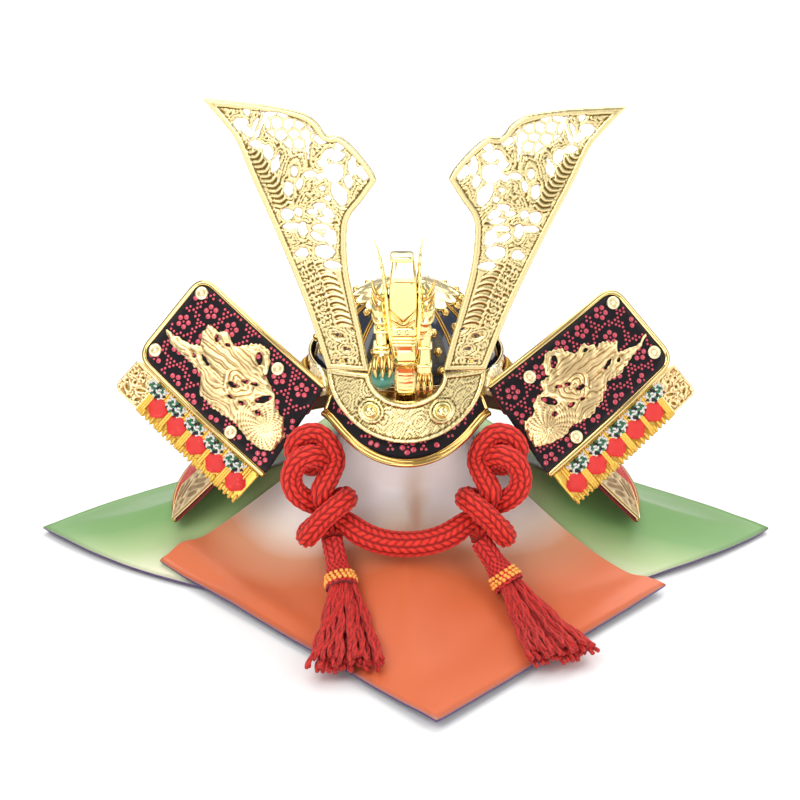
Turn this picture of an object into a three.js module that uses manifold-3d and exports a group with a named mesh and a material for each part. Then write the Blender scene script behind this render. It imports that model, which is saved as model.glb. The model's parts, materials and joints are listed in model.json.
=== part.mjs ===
// A display kabuto: a ribbed bowl with visor, pierced horns, dragon crest, turned-back panels,
// laced neck guard and braided chin cord, on a post draped with two lined silk cloths.
// Millimetres, +Z up, the front faces -Y, the origin is on the floor under the post's axis.
import * as THREE from 'three';
import Module from 'manifold-3d';

const wasm = await Module();
wasm.setup();

// Driving dimensions
const fitGap = 0.3; // clearance between pieces that touch
const bowlRadius = 39; // outer, at the bowl's lower edge
const postInset = 15; // from the bowl's outside to the post's side
const postRadius = bowlRadius - postInset;
const postHeight = 99.5;
const postRound = 5;
const clothWall = 1.3;
const clothGap = 0.35;
const greenReach = 157; // post axis to each corner of the lower cloth
const greenFrontReach = 130;
const orangeLeft = { x: -104, y: -33 };
const orangeRight = { x: 108, y: -52 };
const orangeFront = { x: 11, y: -152 };
const orangeBack = { x: 0, y: 12 };
const shoulderSide = postHeight - 54.5; // height where the cloth leaves the post, by direction
const shoulderFront = postHeight - 68.5;
const shoulderBack = postHeight - 69.5;
const flarePower = 1.5;
const edgeHollow = 0.14; // how far the lower cloth's edges draw in, as a share

const bowlOnPost = 21.5; // from the post's top down to the bowl's lower edge
const bowlBase = postHeight - bowlOnPost;
const bowlRise = 37;
const bowlWall = 1.6;
const bowlBack = 2; // the helmet's axis lies this far behind the post's
const bandWall = 1.2;
const bandBelow = 2.5;
const bandAbove = 8;
const crownRadius = 9;
const crownRise = 3.2;

const guardDepth = 63; // neck guard, waist band to bottom edge
const guardFlare = 58;
const guardWall = 1.4;
const visorReach = 16.5;
const visorDrop = 14;
const visorHalfAngle = 47;
const visorWall = 1.6;
const visorRimRadius = 1.5;

const panelLength = 66; // along the fold's normal, fold to outer edge
const panelWall = 2;
const panelBulge = 3;
const panelRimRadius = 1.25;
const panelCorner = 6;
const appliqueWall = 1.5;
const studRadius = 2.7;
const studHeight = 1.9;
const stripWidth = 15;
const stripWall = 1.4;
const stripColumns = 5;
const padHeight = 1.8;
const padRadius = 4.4;
const fittingWall = 1.1;

const baseHalf = 31.5; // horn base, half width
const baseRise = 28;
const baseBottom = bowlBase - 9.6;
const baseTop = baseBottom + baseRise;
const baseInnerHalf = 14.5;
const baseInnerBottom = baseBottom + 16.6;
const baseWall = 1.8;
const baseProud = 13.4; // the base's lowest point stands this far in front of the bowl
const baseFrontY = -(bowlRadius + baseProud);
const rivetRadius = 3.6;
const hornHeight = 108;
const hornReach = 78.8; // tip from the middle plane
const hornWall = 1.4;
const hornRoll = 1.6; // degrees that the pair leans to the viewer's right
const hornBorder = 2.6;
const hornBar = 1.5;

const jewelRadius = 4.9;
const cordRadius = 5.25;
const knotCordRadius = 4.5;
const tasselHead = 5;

const colours = {
  gold: { color: 0xe0b04a, roughness: 0.25, metalness: 1 },
  paleGold: { color: 0xe9cf9a, roughness: 0.4, metalness: 1 },
  leather: { color: 0x16131a, roughness: 0.6, metalness: 0 },
  lacquer: { color: 0x1c2236, roughness: 0.2, metalness: 0 },
  red: { color: 0xc8201f, roughness: 0.8, metalness: 0 },
  orange: { color: 0xd9643a, roughness: 0.5, metalness: 0 },
  green: { color: 0x86b06a, roughness: 0.5, metalness: 0 },
  jade: { color: 0x2f7a58, roughness: 0.15, metalness: 0 },
  board: { color: 0x8a7f70, roughness: 0.8, metalness: 0 },
};
const materials = Object.fromEntries(
  Object.entries(colours).map(([name, value]) => [name, new THREE.MeshStandardMaterial(value)]),
);

const helmet = new THREE.Group();
const radians = THREE.MathUtils.degToRad;
const vec = (x, y, z) => new THREE.Vector3(x, y, z);

function add(name, geometry, material) {
  geometry.computeVertexNormals();
  const mesh = new THREE.Mesh(geometry, material);
  mesh.name = name;
  helmet.add(mesh);
}

// A closed mesh from points and triangles: equal points become one, flat triangles go,
// and the faces are turned outwards if the enclosed volume comes out negative.
function meshOf(points, triangles) {
  const grain = 1e-3;
  const seen = new Map();
  const kept = [];
  const index = points.map((p) => {
    const key = [p.x, p.y, p.z].map((value) => Math.round(value / grain)).join();
    if (!seen.has(key)) {
      seen.set(key, kept.length);
      kept.push(p);
    }
    return seen.get(key);
  });
  const faces = triangles
    .map((triangle) => triangle.map((corner) => index[corner]))
    .filter(([a, b, c]) => a !== b && b !== c && a !== c);
  let volume = 0;
  for (const [a, b, c] of faces) {
    volume += kept[a].dot(vec(0, 0, 0).crossVectors(kept[b], kept[c]));
  }
  if (volume < 0) faces.forEach((face) => face.reverse());
  const geometry = new THREE.BufferGeometry();
  geometry.setAttribute('position', new THREE.Float32BufferAttribute(kept.flatMap((p) => p.toArray()), 3));
  geometry.setIndex(faces.flat());
  return geometry;
}

// The same for a geometry that three.js made, after each point goes through place().
function cleaned(geometry, place = (p) => p) {
  const position = geometry.attributes.position;
  const points = [];
  for (let i = 0; i < position.count; i += 1) {
    points.push(place(vec(0, 0, 0).fromBufferAttribute(position, i)));
  }
  const flat = geometry.index ? Array.from(geometry.index.array) : points.map((_, i) => i);
  const triangles = [];
  for (let i = 0; i < flat.length; i += 3) triangles.push([flat[i], flat[i + 1], flat[i + 2]]);
  return meshOf(points, triangles);
}

function toSolid(geometry) {
  return new wasm.Manifold(new wasm.Mesh({
    numProp: 3,
    vertProperties: geometry.attributes.position.array,
    triVerts: new Uint32Array(geometry.index.array),
  }));
}

function fromSolid(solid) {
  const mesh = solid.getMesh();
  const points = [];
  for (let i = 0; i < mesh.vertProperties.length; i += mesh.numProp) {
    points.push(vec(mesh.vertProperties[i], mesh.vertProperties[i + 1], mesh.vertProperties[i + 2]));
  }
  const triangles = [];
  for (let i = 0; i < mesh.triVerts.length; i += 3) {
    triangles.push([mesh.triVerts[i], mesh.triVerts[i + 1], mesh.triVerts[i + 2]]);
  }
  return meshOf(points, triangles);
}

const joined = (geometries) => fromSolid(geometries.map(toSolid).reduce((sum, next) => sum.add(next)));
const common = (one, other) => fromSolid(toSolid(one).intersect(toSolid(other)));

// A wall between two surfaces: point(u, v, side) gives the outer face at side 1, the inner at 0.
function wallOf(countU, countV, point, closed = false) {
  const points = [];
  const rows = closed ? countU : countU + 1;
  const at = (side, i, j) => side * rows * (countV + 1) + (i % rows) * (countV + 1) + j;
  for (let side = 0; side < 2; side += 1) {
    for (let i = 0; i < rows; i += 1) {
      for (let j = 0; j <= countV; j += 1) points.push(point(i / countU, j / countV, side, i, j));
    }
  }
  const triangles = [];
  const quad = (a, b, c, d) => triangles.push([a, b, c], [a, c, d]);
  for (let i = 0; i < countU; i += 1) {
    for (let j = 0; j < countV; j += 1) {
      quad(at(1, i, j), at(1, i + 1, j), at(1, i + 1, j + 1), at(1, i, j + 1));
      quad(at(0, i, j), at(0, i, j + 1), at(0, i + 1, j + 1), at(0, i + 1, j));
    }
    quad(at(1, i, 0), at(0, i, 0), at(0, i + 1, 0), at(1, i + 1, 0));
    quad(at(1, i, countV), at(1, i + 1, countV), at(0, i + 1, countV), at(0, i, countV));
  }
  for (let j = 0; !closed && j < countV; j += 1) {
    quad(at(1, 0, j), at(1, 0, j + 1), at(0, 0, j + 1), at(0, 0, j));
    quad(at(1, countU, j), at(0, countU, j), at(0, countU, j + 1), at(1, countU, j + 1));
  }
  return meshOf(points, triangles);
}

// A body through closed rings of equally many points, each end closed by a fan.
function loft(rings) {
  const sides = rings[0].length;
  const points = rings.flat();
  const triangles = [];
  for (let k = 0; k + 1 < rings.length; k += 1) {
    for (let i = 0; i < sides; i += 1) {
      const next = (i + 1) % sides;
      triangles.push([k * sides + i, k * sides + next, (k + 1) * sides + next]);
      triangles.push([k * sides + i, (k + 1) * sides + next, (k + 1) * sides + i]);
    }
  }
  const last = (rings.length - 1) * sides;
  for (let i = 1; i + 1 < sides; i += 1) {
    triangles.push([0, i + 1, i], [last, last + i, last + i + 1]);
  }
  return meshOf(points, triangles);
}

function tube(points, radius, sides, steps) {
  const section = new THREE.Shape();
  for (let i = 0; i < sides; i += 1) {
    const angle = (2 * Math.PI * i) / sides;
    section[i ? 'lineTo' : 'moveTo'](radius * Math.cos(angle), radius * Math.sin(angle));
  }
  const path = new THREE.CatmullRomCurve3(points, false, 'centripetal');
  return cleaned(new THREE.ExtrudeGeometry(section, { steps, extrudePath: path, bevelEnabled: false }));
}

// A turned body on the axis from base along direction; the profile rows are [radius, height].
function turned(profile, segments, base, direction) {
  const lathe = new THREE.LatheGeometry(profile.map(([r, h]) => new THREE.Vector2(r, h)), segments);
  const turn = new THREE.Quaternion().setFromUnitVectors(vec(0, 1, 0), direction.clone().normalize());
  return cleaned(lathe, (p) => p.applyQuaternion(turn).add(base));
}

// A curved rectangular field: origin, length direction, width direction, face normal.
function fieldOf(foldTop, foldBottom, outTop, outBottom, bulge) {
  const along = outTop.clone().sub(foldTop).add(outBottom).sub(foldBottom).normalize();
  const across = foldBottom.clone().sub(foldTop).add(outBottom).sub(outTop);
  const normal = vec(0, 0, 0).crossVectors(along, across).normalize();
  if (normal.y > 0) normal.negate();
  const down = across.addScaledVector(along, -across.dot(along)).normalize();
  const flat = (p) => {
    const offset = p.clone().sub(foldTop);
    return new THREE.Vector2(offset.dot(along), offset.dot(down));
  };
  const corners = { foldTop, foldBottom, outTop, outBottom };
  const local = Object.fromEntries(Object.entries(corners).map(([name, p]) => [name, flat(p)]));
  const length = local.outTop.x;
  const at = (s, t, off) => foldTop.clone()
    .addScaledVector(along, s)
    .addScaledVector(down, t)
    .addScaledVector(normal, bulge * Math.sin((Math.PI * s) / length) + off);
  // a share of the length (0 at the fold) and of the width (0 at the top) as local sizes
  const share = (u, v) => {
    const top = local.foldTop.clone().lerp(local.outTop, u);
    const bottom = local.foldBottom.clone().lerp(local.outBottom, u);
    return top.lerp(bottom, v);
  };
  return { at, share, local, length, normal, along, down };
}

// The part of a field's sheet, from offset low to high, inside an outline.
function sheetIn(field, shape, low, high, stepsAlong) {
  const outline = shape.getPoints(4);
  const box = new THREE.Box2().setFromPoints(outline).expandByScalar(2);
  const span = box.getSize(new THREE.Vector2());
  const sheet = wallOf(stepsAlong, 1, (u, v, side) => field.at(
    box.min.x + u * span.x,
    box.min.y + v * span.y,
    side ? high : low,
  ));
  const depth = 30;
  const prism = cleaned(
    new THREE.ExtrudeGeometry(shape, { depth, bevelEnabled: false, curveSegments: 4 }),
    (p) => {
      const foot = field.at(0, 0, 0);
      return foot.addScaledVector(field.along, p.x)
        .addScaledVector(field.down, p.y)
        .addScaledVector(field.normal, p.z - depth / 2);
    },
  );
  return common(sheet, prism);
}

function roundedShape(points, radii) {
  const shape = new THREE.Shape();
  points.forEach((corner, i) => {
    const before = points[(i + points.length - 1) % points.length];
    const after = points[(i + 1) % points.length];
    const start = corner.clone().add(before.clone().sub(corner).setLength(Math.max(radii[i], 0.01)));
    const end = corner.clone().add(after.clone().sub(corner).setLength(Math.max(radii[i], 0.01)));
    if (i) shape.lineTo(start.x, start.y);
    else shape.moveTo(start.x, start.y);
    shape.quadraticCurveTo(corner.x, corner.y, end.x, end.y);
  });
  return shape;
}

// Draped cloth: in each direction the sheet lies on the post's top, falls down its side to a
// shoulder, and flares out to the floor. Both cloths share the directions and the section, at
// other offsets, so that their facets nest.
const clothSpokes = 32;
const flareShares = [0, 0.1, 0.3, 0.6, 1];
const overhang = 34; // the upper cloth's full sheet runs on this far past the lower one's edge

function shoulder(angle) {
  const side = Math.cos(angle) ** 2;
  return shoulderSide * side + (Math.sin(angle) < 0 ? shoulderFront : shoulderBack) * (1 - side);
}

function greenEdge(angle) {
  const fore = Math.sin(angle) < 0 ? greenFrontReach : greenReach;
  const side = Math.cos(angle) ** 2;
  const reach = greenReach * side + fore * (1 - side);
  const diamond = reach / (Math.abs(Math.cos(angle)) + Math.abs(Math.sin(angle)));
  return diamond * (1 - edgeHollow * Math.sin(2 * angle) ** 2);
}

function flareHeight(radius, angle) {
  const share = (radius - postRadius) / (greenEdge(angle) - postRadius);
  return shoulder(angle) * Math.max(0, 1 - Math.max(0, share)) ** flarePower;
}

function drapeSection(angle, runOn) {
  const section = [
    [0, postHeight],
    [postRadius - postRound, postHeight],
    [postRadius - postRound * 0.3, postHeight - postRound * 0.3],
    [postRadius, postHeight - postRound],
  ];
  const edge = greenEdge(angle);
  for (const share of flareShares) {
    const radius = postRadius + (edge - postRadius) * share;
    section.push([radius, flareHeight(radius, angle)]);
  }
  if (runOn) section.push([edge + runOn, 0]);
  return section.map(([r, z]) => new THREE.Vector2(r, z));
}

// The section's corner k, pushed off the section by offset
function drapeCorner(section, k, offset) {
  if (k === 0) return section[0].clone().add(new THREE.Vector2(0, offset));
  const after = section[Math.min(k + 1, section.length - 1)];
  const run = section[k].clone().sub(section[k - 1]).normalize();
  if (after !== section[k]) run.add(after.clone().sub(section[k]).normalize()).normalize();
  return section[k].clone().add(new THREE.Vector2(-run.y, run.x).multiplyScalar(offset));
}

function drape(low, high, runOn) {
  const turn = (u) => 2 * Math.PI * u;
  const count = drapeSection(0, runOn).length - 1;
  return wallOf(clothSpokes, count, (u, v, side, i, k) => {
    const angle = turn(i / clothSpokes);
    const offset = side ? high : low;
    const corner = drapeCorner(drapeSection(angle, runOn), k, offset);
    return vec(corner.x * Math.cos(angle), corner.x * Math.sin(angle), Math.max(offset, corner.y));
  }, true);
}

function addCloths() {
  const greenLow = clothGap;
  add('cloth_green', drape(greenLow, greenLow + clothWall, 0), materials.green);
  const orangeLow = 2 * clothGap + clothWall;
  const outline = [orangeBack, orangeLeft, orangeFront, orangeRight];
  const shape = new THREE.Shape(outline.map(({ x, y }) => new THREE.Vector2(x, y)));
  const plan = cleaned(new THREE.ExtrudeGeometry(shape, { depth: postHeight * 1.2, bevelEnabled: false }));
  const sheet = drape(orangeLow, orangeLow + clothWall, overhang);
  add('cloth_orange', common(sheet, plan), materials.orange);
}

// Height of the laid cloths' upper face: the higher of the two nearest section lines
function clothTop(x, y) {
  const turn = (Math.atan2(y, x) / (2 * Math.PI)) * clothSpokes;
  const radius = Math.hypot(x, y);
  const heights = [Math.floor(turn), Math.ceil(turn)].map((spoke) => {
    const section = drapeSection((2 * Math.PI * spoke) / clothSpokes, overhang);
    const k = section.findIndex((corner) => corner.x >= radius);
    if (k < 1) return 0;
    const [a, b] = [section[k - 1], section[k]];
    return THREE.MathUtils.lerp(a.y, b.y, (radius - a.x) / (b.x - a.x));
  });
  return Math.max(...heights) + 2 * (clothGap + clothWall);
}

function addPost() {
  const profile = [
    [0, 0],
    [postRadius, 0],
    [postRadius, postHeight - postRound],
    [postRadius - postRound * 0.3, postHeight - postRound * 0.3],
    [postRadius - postRound, postHeight],
    [0, postHeight],
  ];
  add('stand_post', turned(profile, clothSpokes, vec(0, 0, 0), vec(0, 0, 1)), materials.board);
}

// Helmet bowl, waist band, crown mount
const bandInner = bowlRadius + 0.5;
const bandOuter = bandInner + bandWall;
const aroundHelmet = (radius, angle, z) => vec(
  radius * Math.cos(angle),
  bowlBack + radius * Math.sin(angle),
  z,
);

function addBowl() {
  const point = (u, v, side) => {
    const angle = 2 * Math.PI * u;
    const rise = (Math.PI / 2) * v;
    const thin = side ? 0 : bowlWall;
    return vec(
      (bowlRadius - thin) * Math.cos(angle) * Math.cos(rise),
      bowlBack + (bowlRadius - thin) * Math.sin(angle) * Math.cos(rise),
      bowlBase + (bowlRise - thin) * Math.sin(rise),
    );
  };
  add('bowl', wallOf(24, 5, point, true), materials.lacquer);
  add('waist_band', wallOf(32, 1, (u, v, side) => aroundHelmet(
    side ? bandOuter : bandInner,
    2 * Math.PI * u,
    bowlBase - bandBelow + v * (bandBelow + bandAbove),
  ), true), materials.gold);
  const top = bowlBase + bowlRise * Math.sqrt(1 - (crownRadius / bowlRadius) ** 2);
  const profile = [
    [0, bowlBase + bowlRise - top + fitGap],
    [crownRadius * 0.5, bowlBase + bowlRise - top + fitGap],
    [crownRadius, fitGap],
    [crownRadius, crownRise * 0.6],
    [crownRadius * 0.6, crownRise],
    [crownRadius * 0.35, crownRise * 1.6],
    [0, crownRise * 1.6],
  ];
  add('crown_mount', turned(profile, 12, vec(0, bowlBack, top), vec(0, 0, 1)), materials.gold);
}

// Visor: a crescent round the front, deepest in the middle
const visorInner = bandOuter + fitGap;
const visorTop = bowlBase - bandBelow + visorWall / 2;

function visorPoint(angle, share, off) {
  const middle = Math.cos(((angle / visorHalfAngle) * Math.PI) / 2);
  const reach = visorReach * (0.18 + 0.82 * middle ** 1.6) * share;
  const drop = visorDrop * (0.35 + 0.65 * middle ** 2) * share ** 1.2;
  return aroundHelmet(visorInner + reach, radians(-90 + angle), visorTop - drop + off);
}

function addVisor() {
  add('visor', wallOf(16, 2, (u, v, side) => visorPoint(
    visorHalfAngle * (2 * u - 1),
    v,
    (side ? 0.5 : -0.5) * visorWall,
  )), materials.leather);
  const rim = [];
  const steps = 14;
  for (let i = 0; i <= steps; i += 1) {
    const point = visorPoint(visorHalfAngle * ((2 * i) / steps - 1), 1, 0);
    const out = vec(point.x, point.y - bowlBack, 0).normalize();
    rim.push(point.addScaledVector(out, visorRimRadius + fitGap + 0.2));
  }
  add('visor_rim', tube(rim, visorRimRadius, 6, 20), materials.gold);
}

// Neck guard: five flared lames; rows give shares of its depth and flare at each lame's edge,
// and the angle in degrees that its front ends wrap past the sides.
const guardRows = [
  { drop: 0.0, flare: 0.0, wrap: 36 },
  { drop: 0.17, flare: 0.12, wrap: 34 },
  { drop: 0.34, flare: 0.27, wrap: 30.5 },
  { drop: 0.51, flare: 0.45, wrap: 28 },
  { drop: 0.67, flare: 0.63, wrap: 24 },
  { drop: 1.0, flare: 1.0, wrap: 13 },
];
const bottomLameWrap = 17; // the bottom lame starts here, short of the rows above it
const guardTop = bowlBase + 0.8;
const guardInner = bandOuter + fitGap;
const guardNames = ['lame_first', 'lame_second', 'lame_third', 'lame_fourth', 'lame_bottom'];
const lameStep = guardWall + fitGap;

// Each lame starts just outside the lower edge of the one above.
function guardEdge(row, lame) {
  const data = guardRows[row];
  const step = row === lame && lame > 0 ? lameStep * 0.75 : 0;
  return {
    radius: guardInner + guardFlare * data.flare + step,
    height: guardTop - guardDepth * data.drop + step,
    wrap: data.wrap,
  };
}

function guardPoint(lame, turn, share, off) {
  const top = guardEdge(lame, lame);
  const bottom = guardEdge(lame + 1, lame);
  const bottomLame = lame === guardNames.length - 1;
  const topWrap = bottomLame ? bottomLameWrap : top.wrap;
  const wrap = THREE.MathUtils.lerp(topWrap, bottom.wrap, share);
  const angle = radians(-wrap + turn * (180 + 2 * wrap));
  const run = new THREE.Vector2(bottom.radius - top.radius, bottom.height - top.height).normalize();
  const radius = THREE.MathUtils.lerp(top.radius, bottom.radius, share) - run.y * off;
  const height = THREE.MathUtils.lerp(top.height, bottom.height, share) + run.x * off;
  return aroundHelmet(radius, angle, height);
}

function addGuard() {
  guardNames.forEach((name, lame) => {
    add(name, wallOf(24, 1, (u, v, side) => guardPoint(lame, u, v, side * guardWall)), materials.red);
  });
  // pierced corner plates on the bottom lame's front ends
  const sides = [{ name: 'corner_plate_right', from: 0 }, { name: 'corner_plate_left', from: 1 }];
  const reach = 0.062;
  for (const { name, from } of sides) {
    const turn = (u) => (from ? 1 - u * reach : u * reach);
    const low = guardWall + fitGap;
    add(name, wallOf(3, 3, (u, v, side) => guardPoint(
      4,
      turn(u),
      0.04 + 0.96 * v * (1 - 0.25 * u * v),
      low + side * fittingWall,
    )), materials.paleGold);
  }
}

// Turned-back panels and the laced strips below them; rows give the outer corners' offsets
// from the fold's ends (outwards, back, up) as shares of the panel's length.
const panelSides = [
  { side: -1, label: 'left', topOut: [0.75, 0.379, 0.568], bottomOut: [0.773, 0.424, 0.606] },
  { side: 1, label: 'right', topOut: [0.765, 0.379, 0.5], bottomOut: [0.773, 0.424, 0.579] },
];
const foldGap = 0.9;
const foldTopWrap = 37;
const foldBottomWrap = 33;

function foldPoint(side, row, wrap) {
  const { radius, height } = guardEdge(row, row - 1);
  const point = aroundHelmet(radius, radians(-wrap), height);
  return vec(side * (point.x + foldGap), point.y - foldGap, point.z);
}

function panelField({ side, topOut, bottomOut }) {
  const top = foldPoint(side, 0, foldTopWrap);
  const bottom = foldPoint(side, 3, foldBottomWrap);
  const out = ([x, y, z]) => vec(side * x, y, z).multiplyScalar(panelLength);
  return fieldOf(top, bottom, top.clone().add(out(topOut)), bottom.clone().add(out(bottomOut)), panelBulge);
}

// The lower strip's field runs on from the panel's bottom edge.
function stripField(panel) {
  const { foldBottom, outBottom } = panel.local;
  const edgeGap = 2 * panelRimRadius + 0.4;
  const below = stripWidth + edgeGap;
  const base = (p, step) => panel.at(p.x, p.y, 0).addScaledVector(panel.down, step);
  const sink = panelWall + 0.4;
  const place = (p, step) => base(p, step).addScaledVector(panel.normal, -sink);
  const inset = 2;
  const foldEnd = foldBottom.clone();
  foldEnd.x += inset;
  return fieldOf(place(foldEnd, edgeGap), place(foldEnd, below), place(outBottom, edgeGap),
    place(outBottom, below), panelBulge * 0.8);
}

const studPlaces = {
  left: [[0.95, 0.1], [0.955, 0.86], [0.29, 0.14], [0.3, 0.93]],
  right: [[0.95, 0.11], [0.95, 0.82], [0.24, 0.15], [0.26, 0.92]],
};

// Dragon outlines as shares of the panel's length and width, from the tail round the mane,
// the head and the coiled body.
const dragonOutline = {
  left: [
    [0.98, 0.63], [0.91, 0.61], [0.82, 0.57], [0.74, 0.5], [0.79, 0.4], [0.79, 0.29], [0.71, 0.27],
    [0.67, 0.21], [0.59, 0.28], [0.53, 0.21], [0.47, 0.16], [0.4, 0.2], [0.33, 0.29], [0.23, 0.35],
    [0.17, 0.45], [0.08, 0.49], [0.03, 0.61], [0.04, 0.78], [0.1, 0.85], [0.2, 0.86], [0.31, 0.82],
    [0.42, 0.86], [0.57, 0.86], [0.65, 0.7], [0.78, 0.68], [0.89, 0.7],
  ],
  right: [
    [0.98, 0.61], [0.9, 0.64], [0.82, 0.59], [0.76, 0.54], [0.81, 0.46], [0.73, 0.36], [0.65, 0.3],
    [0.64, 0.24], [0.55, 0.3], [0.47, 0.2], [0.4, 0.17], [0.34, 0.26], [0.28, 0.27], [0.26, 0.36],
    [0.18, 0.37], [0.14, 0.47], [0.06, 0.47], [0.03, 0.57], [0.03, 0.72], [0.09, 0.78], [0.2, 0.83],
    [0.28, 0.8], [0.41, 0.86], [0.51, 0.81], [0.6, 0.7], [0.71, 0.73], [0.81, 0.68], [0.91, 0.66],
  ],
};
function addPanel(row) {
  const { label } = row;
  const field = panelField(row);
  const { foldTop, foldBottom, outTop, outBottom } = field.local;
  const shape = roundedShape([foldTop, outTop, outBottom, foldBottom], [0.5, panelCorner, panelCorner, 0.5]);
  add(`panel_${label}`, sheetIn(field, shape, 0, panelWall, 7), materials.leather);

  // gold rim along the top, outer and lower edges
  const trace = [foldTop, outTop, outBottom, foldBottom];
  const path = new THREE.Path();
  path.moveTo(trace[0].x, trace[0].y);
  for (let i = 1; i < 3; i += 1) {
    const back = trace[i].clone().add(trace[i - 1].clone().sub(trace[i]).setLength(panelCorner));
    const ahead = trace[i].clone().add(trace[i + 1].clone().sub(trace[i]).setLength(panelCorner));
    path.lineTo(back.x, back.y);
    path.quadraticCurveTo(trace[i].x, trace[i].y, ahead.x, ahead.y);
  }
  path.lineTo(trace[3].x, trace[3].y);
  const middle = field.share(0.5, 0.5);
  const out = panelRimRadius + fitGap + 0.7;
  const rim = path.getSpacedPoints(26).map((p, i, all) => {
    const run = all[Math.min(i + 1, all.length - 1)].clone().sub(all[Math.max(i - 1, 0)]).normalize();
    const away = new THREE.Vector2(run.y, -run.x);
    if (away.dot(p.clone().sub(middle)) < 0) away.negate();
    return field.at(p.x + away.x * out, p.y + away.y * out, panelWall * 0.6);
  });
  add(`panel_rim_${label}`, tube(rim, panelRimRadius, 6, 26), materials.gold);

  const corners = dragonOutline[label].map(([u, v]) => field.share(u, v));
  const dragon = new THREE.Shape(corners);
  const face = panelWall + fitGap;
  add(`dragon_${label}`, sheetIn(field, dragon, face, face + appliqueWall, 4), materials.paleGold);

  studPlaces[label].forEach(([u, v], i) => {
    const place = field.share(u, v);
    const profile = [
      [0, 0],
      [studRadius, 0],
      [studRadius, studHeight * 0.35],
      [studRadius * 0.65, studHeight],
      [0, studHeight],
    ];
    const base = field.at(place.x, place.y, face + 0.05);
    add(`stud_${label}_${i + 1}`, turned(profile, 8, base, field.normal), materials.paleGold);
  });

  const strip = stripField(field);
  const plate = strip.local;
  const stripShape = roundedShape(
    [plate.foldTop, plate.outTop, plate.outBottom, plate.foldBottom],
    [0.5, 0.5, 2, 2],
  );
  const pieces = [sheetIn(strip, stripShape, 0, stripWall, 5)];
  const fittingFrom = 0.8;
  const pitch = fittingFrom / stripColumns;
  for (let column = 0; column < stripColumns; column += 1) {
    const place = strip.share(pitch * (column + 0.5), 0.5);
    const base = strip.at(place.x, place.y, stripWall * 0.5);
    const rise = padHeight + stripWall * 0.5;
    const profile = [[0, 0], [padRadius, 0], [padRadius * 0.75, rise], [0, rise]];
    pieces.push(turned(profile, 6, base, strip.normal));
  }
  add(`laced_strip_${label}`, joined(pieces), materials.gold);
  const fitting = roundedShape(
    [[fittingFrom + 0.01, 0], [1.01, 0], [1.01, 1], [fittingFrom + 0.01, 1]].map(([u, v]) => strip.share(u, v)),
    [1, 1, 3, 1],
  );
  const low = stripWall + fitGap;
  add(`strip_fitting_${label}`, sheetIn(strip, fitting, low, low + fittingWall, 3), materials.paleGold);
}

// Horn base: a curved crescent plate standing in front of the bowl
const baseLean = 0.12;
const baseCurve = 140;
const baseFace = (x, z) => baseFrontY + baseLean * (z - baseBottom) + (x * x) / baseCurve;

function addHornBase() {
  const shape = new THREE.Shape();
  shape.moveTo(-baseHalf, baseTop);
  shape.absellipse(0, baseTop, baseHalf, baseTop - baseBottom, Math.PI, 2 * Math.PI, false);
  shape.lineTo(baseInnerHalf, baseTop);
  shape.absellipse(0, baseTop, baseInnerHalf, baseTop - baseInnerBottom, 2 * Math.PI, Math.PI, true);
  const spread = 2 * (baseHalf + 2);
  const sheet = wallOf(12, 1, (u, v, side) => {
    const x = spread * (u - 0.5);
    const z = baseBottom - 2 + v * (baseTop - baseBottom + 4);
    return vec(x, baseFace(x, z) + (side ? 0 : baseWall), z);
  });
  const depth = 60;
  const prism = cleaned(
    new THREE.ExtrudeGeometry(shape, { depth, bevelEnabled: false, curveSegments: 14 }),
    (p) => vec(p.x, -p.z - 20, p.y),
  );
  add('horn_base', common(sheet, prism), materials.gold);
  for (const side of [-1, 1]) {
    const x = side * rivetRadius * 3.9;
    const z = baseBottom + 13;
    const slope = vec((2 * x) / baseCurve, -1, baseLean).normalize();
    const profile = [
      [0, 0],
      [rivetRadius, 0],
      [rivetRadius, rivetRadius * 0.25],
      [rivetRadius * 0.6, rivetRadius * 0.7],
      [0, rivetRadius * 0.85],
    ];
    const base = vec(x, baseFace(x, z), z).addScaledVector(slope, fitGap + 0.15);
    add(`base_rivet_${side < 0 ? 'left' : 'right'}`, turned(profile, 10, base, slope), materials.gold);
  }
}

// Horns: outline rows are shares of the reach from the middle plane and of the height
const hornEdge = {
  outer: [
    [0.397, 0], [0.505, 0.25], [0.642, 0.505], [0.769, 0.722], [0.838, 0.85], [0.907, 0.921], [1, 1],
  ],
  top: [
    [0.72, 0.99], [0.54, 0.97], [0.46, 0.937], [0.414, 0.893], [0.35, 0.89], [0.28, 0.85], [0.2, 0.78],
    [0.171, 0.74],
  ],
  inner: [[0.24, 0.66], [0.295, 0.6], [0.31, 0.53], [0.3, 0.4], [0.265, 0.27], [0.22, 0.13], [0.184, 0]],
};
const hornFoot = baseTop + fitGap;

function edgeAt(rows, height) {
  for (let i = 0; i + 1 < rows.length; i += 1) {
    const [a, b] = [rows[i], rows[i + 1]];
    if ((height - a[1]) * (height - b[1]) <= 0) {
      return THREE.MathUtils.lerp(a[0], b[0], (height - a[1]) / (b[1] - a[1]));
    }
  }
  return rows.at(-1)[0];
}

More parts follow.
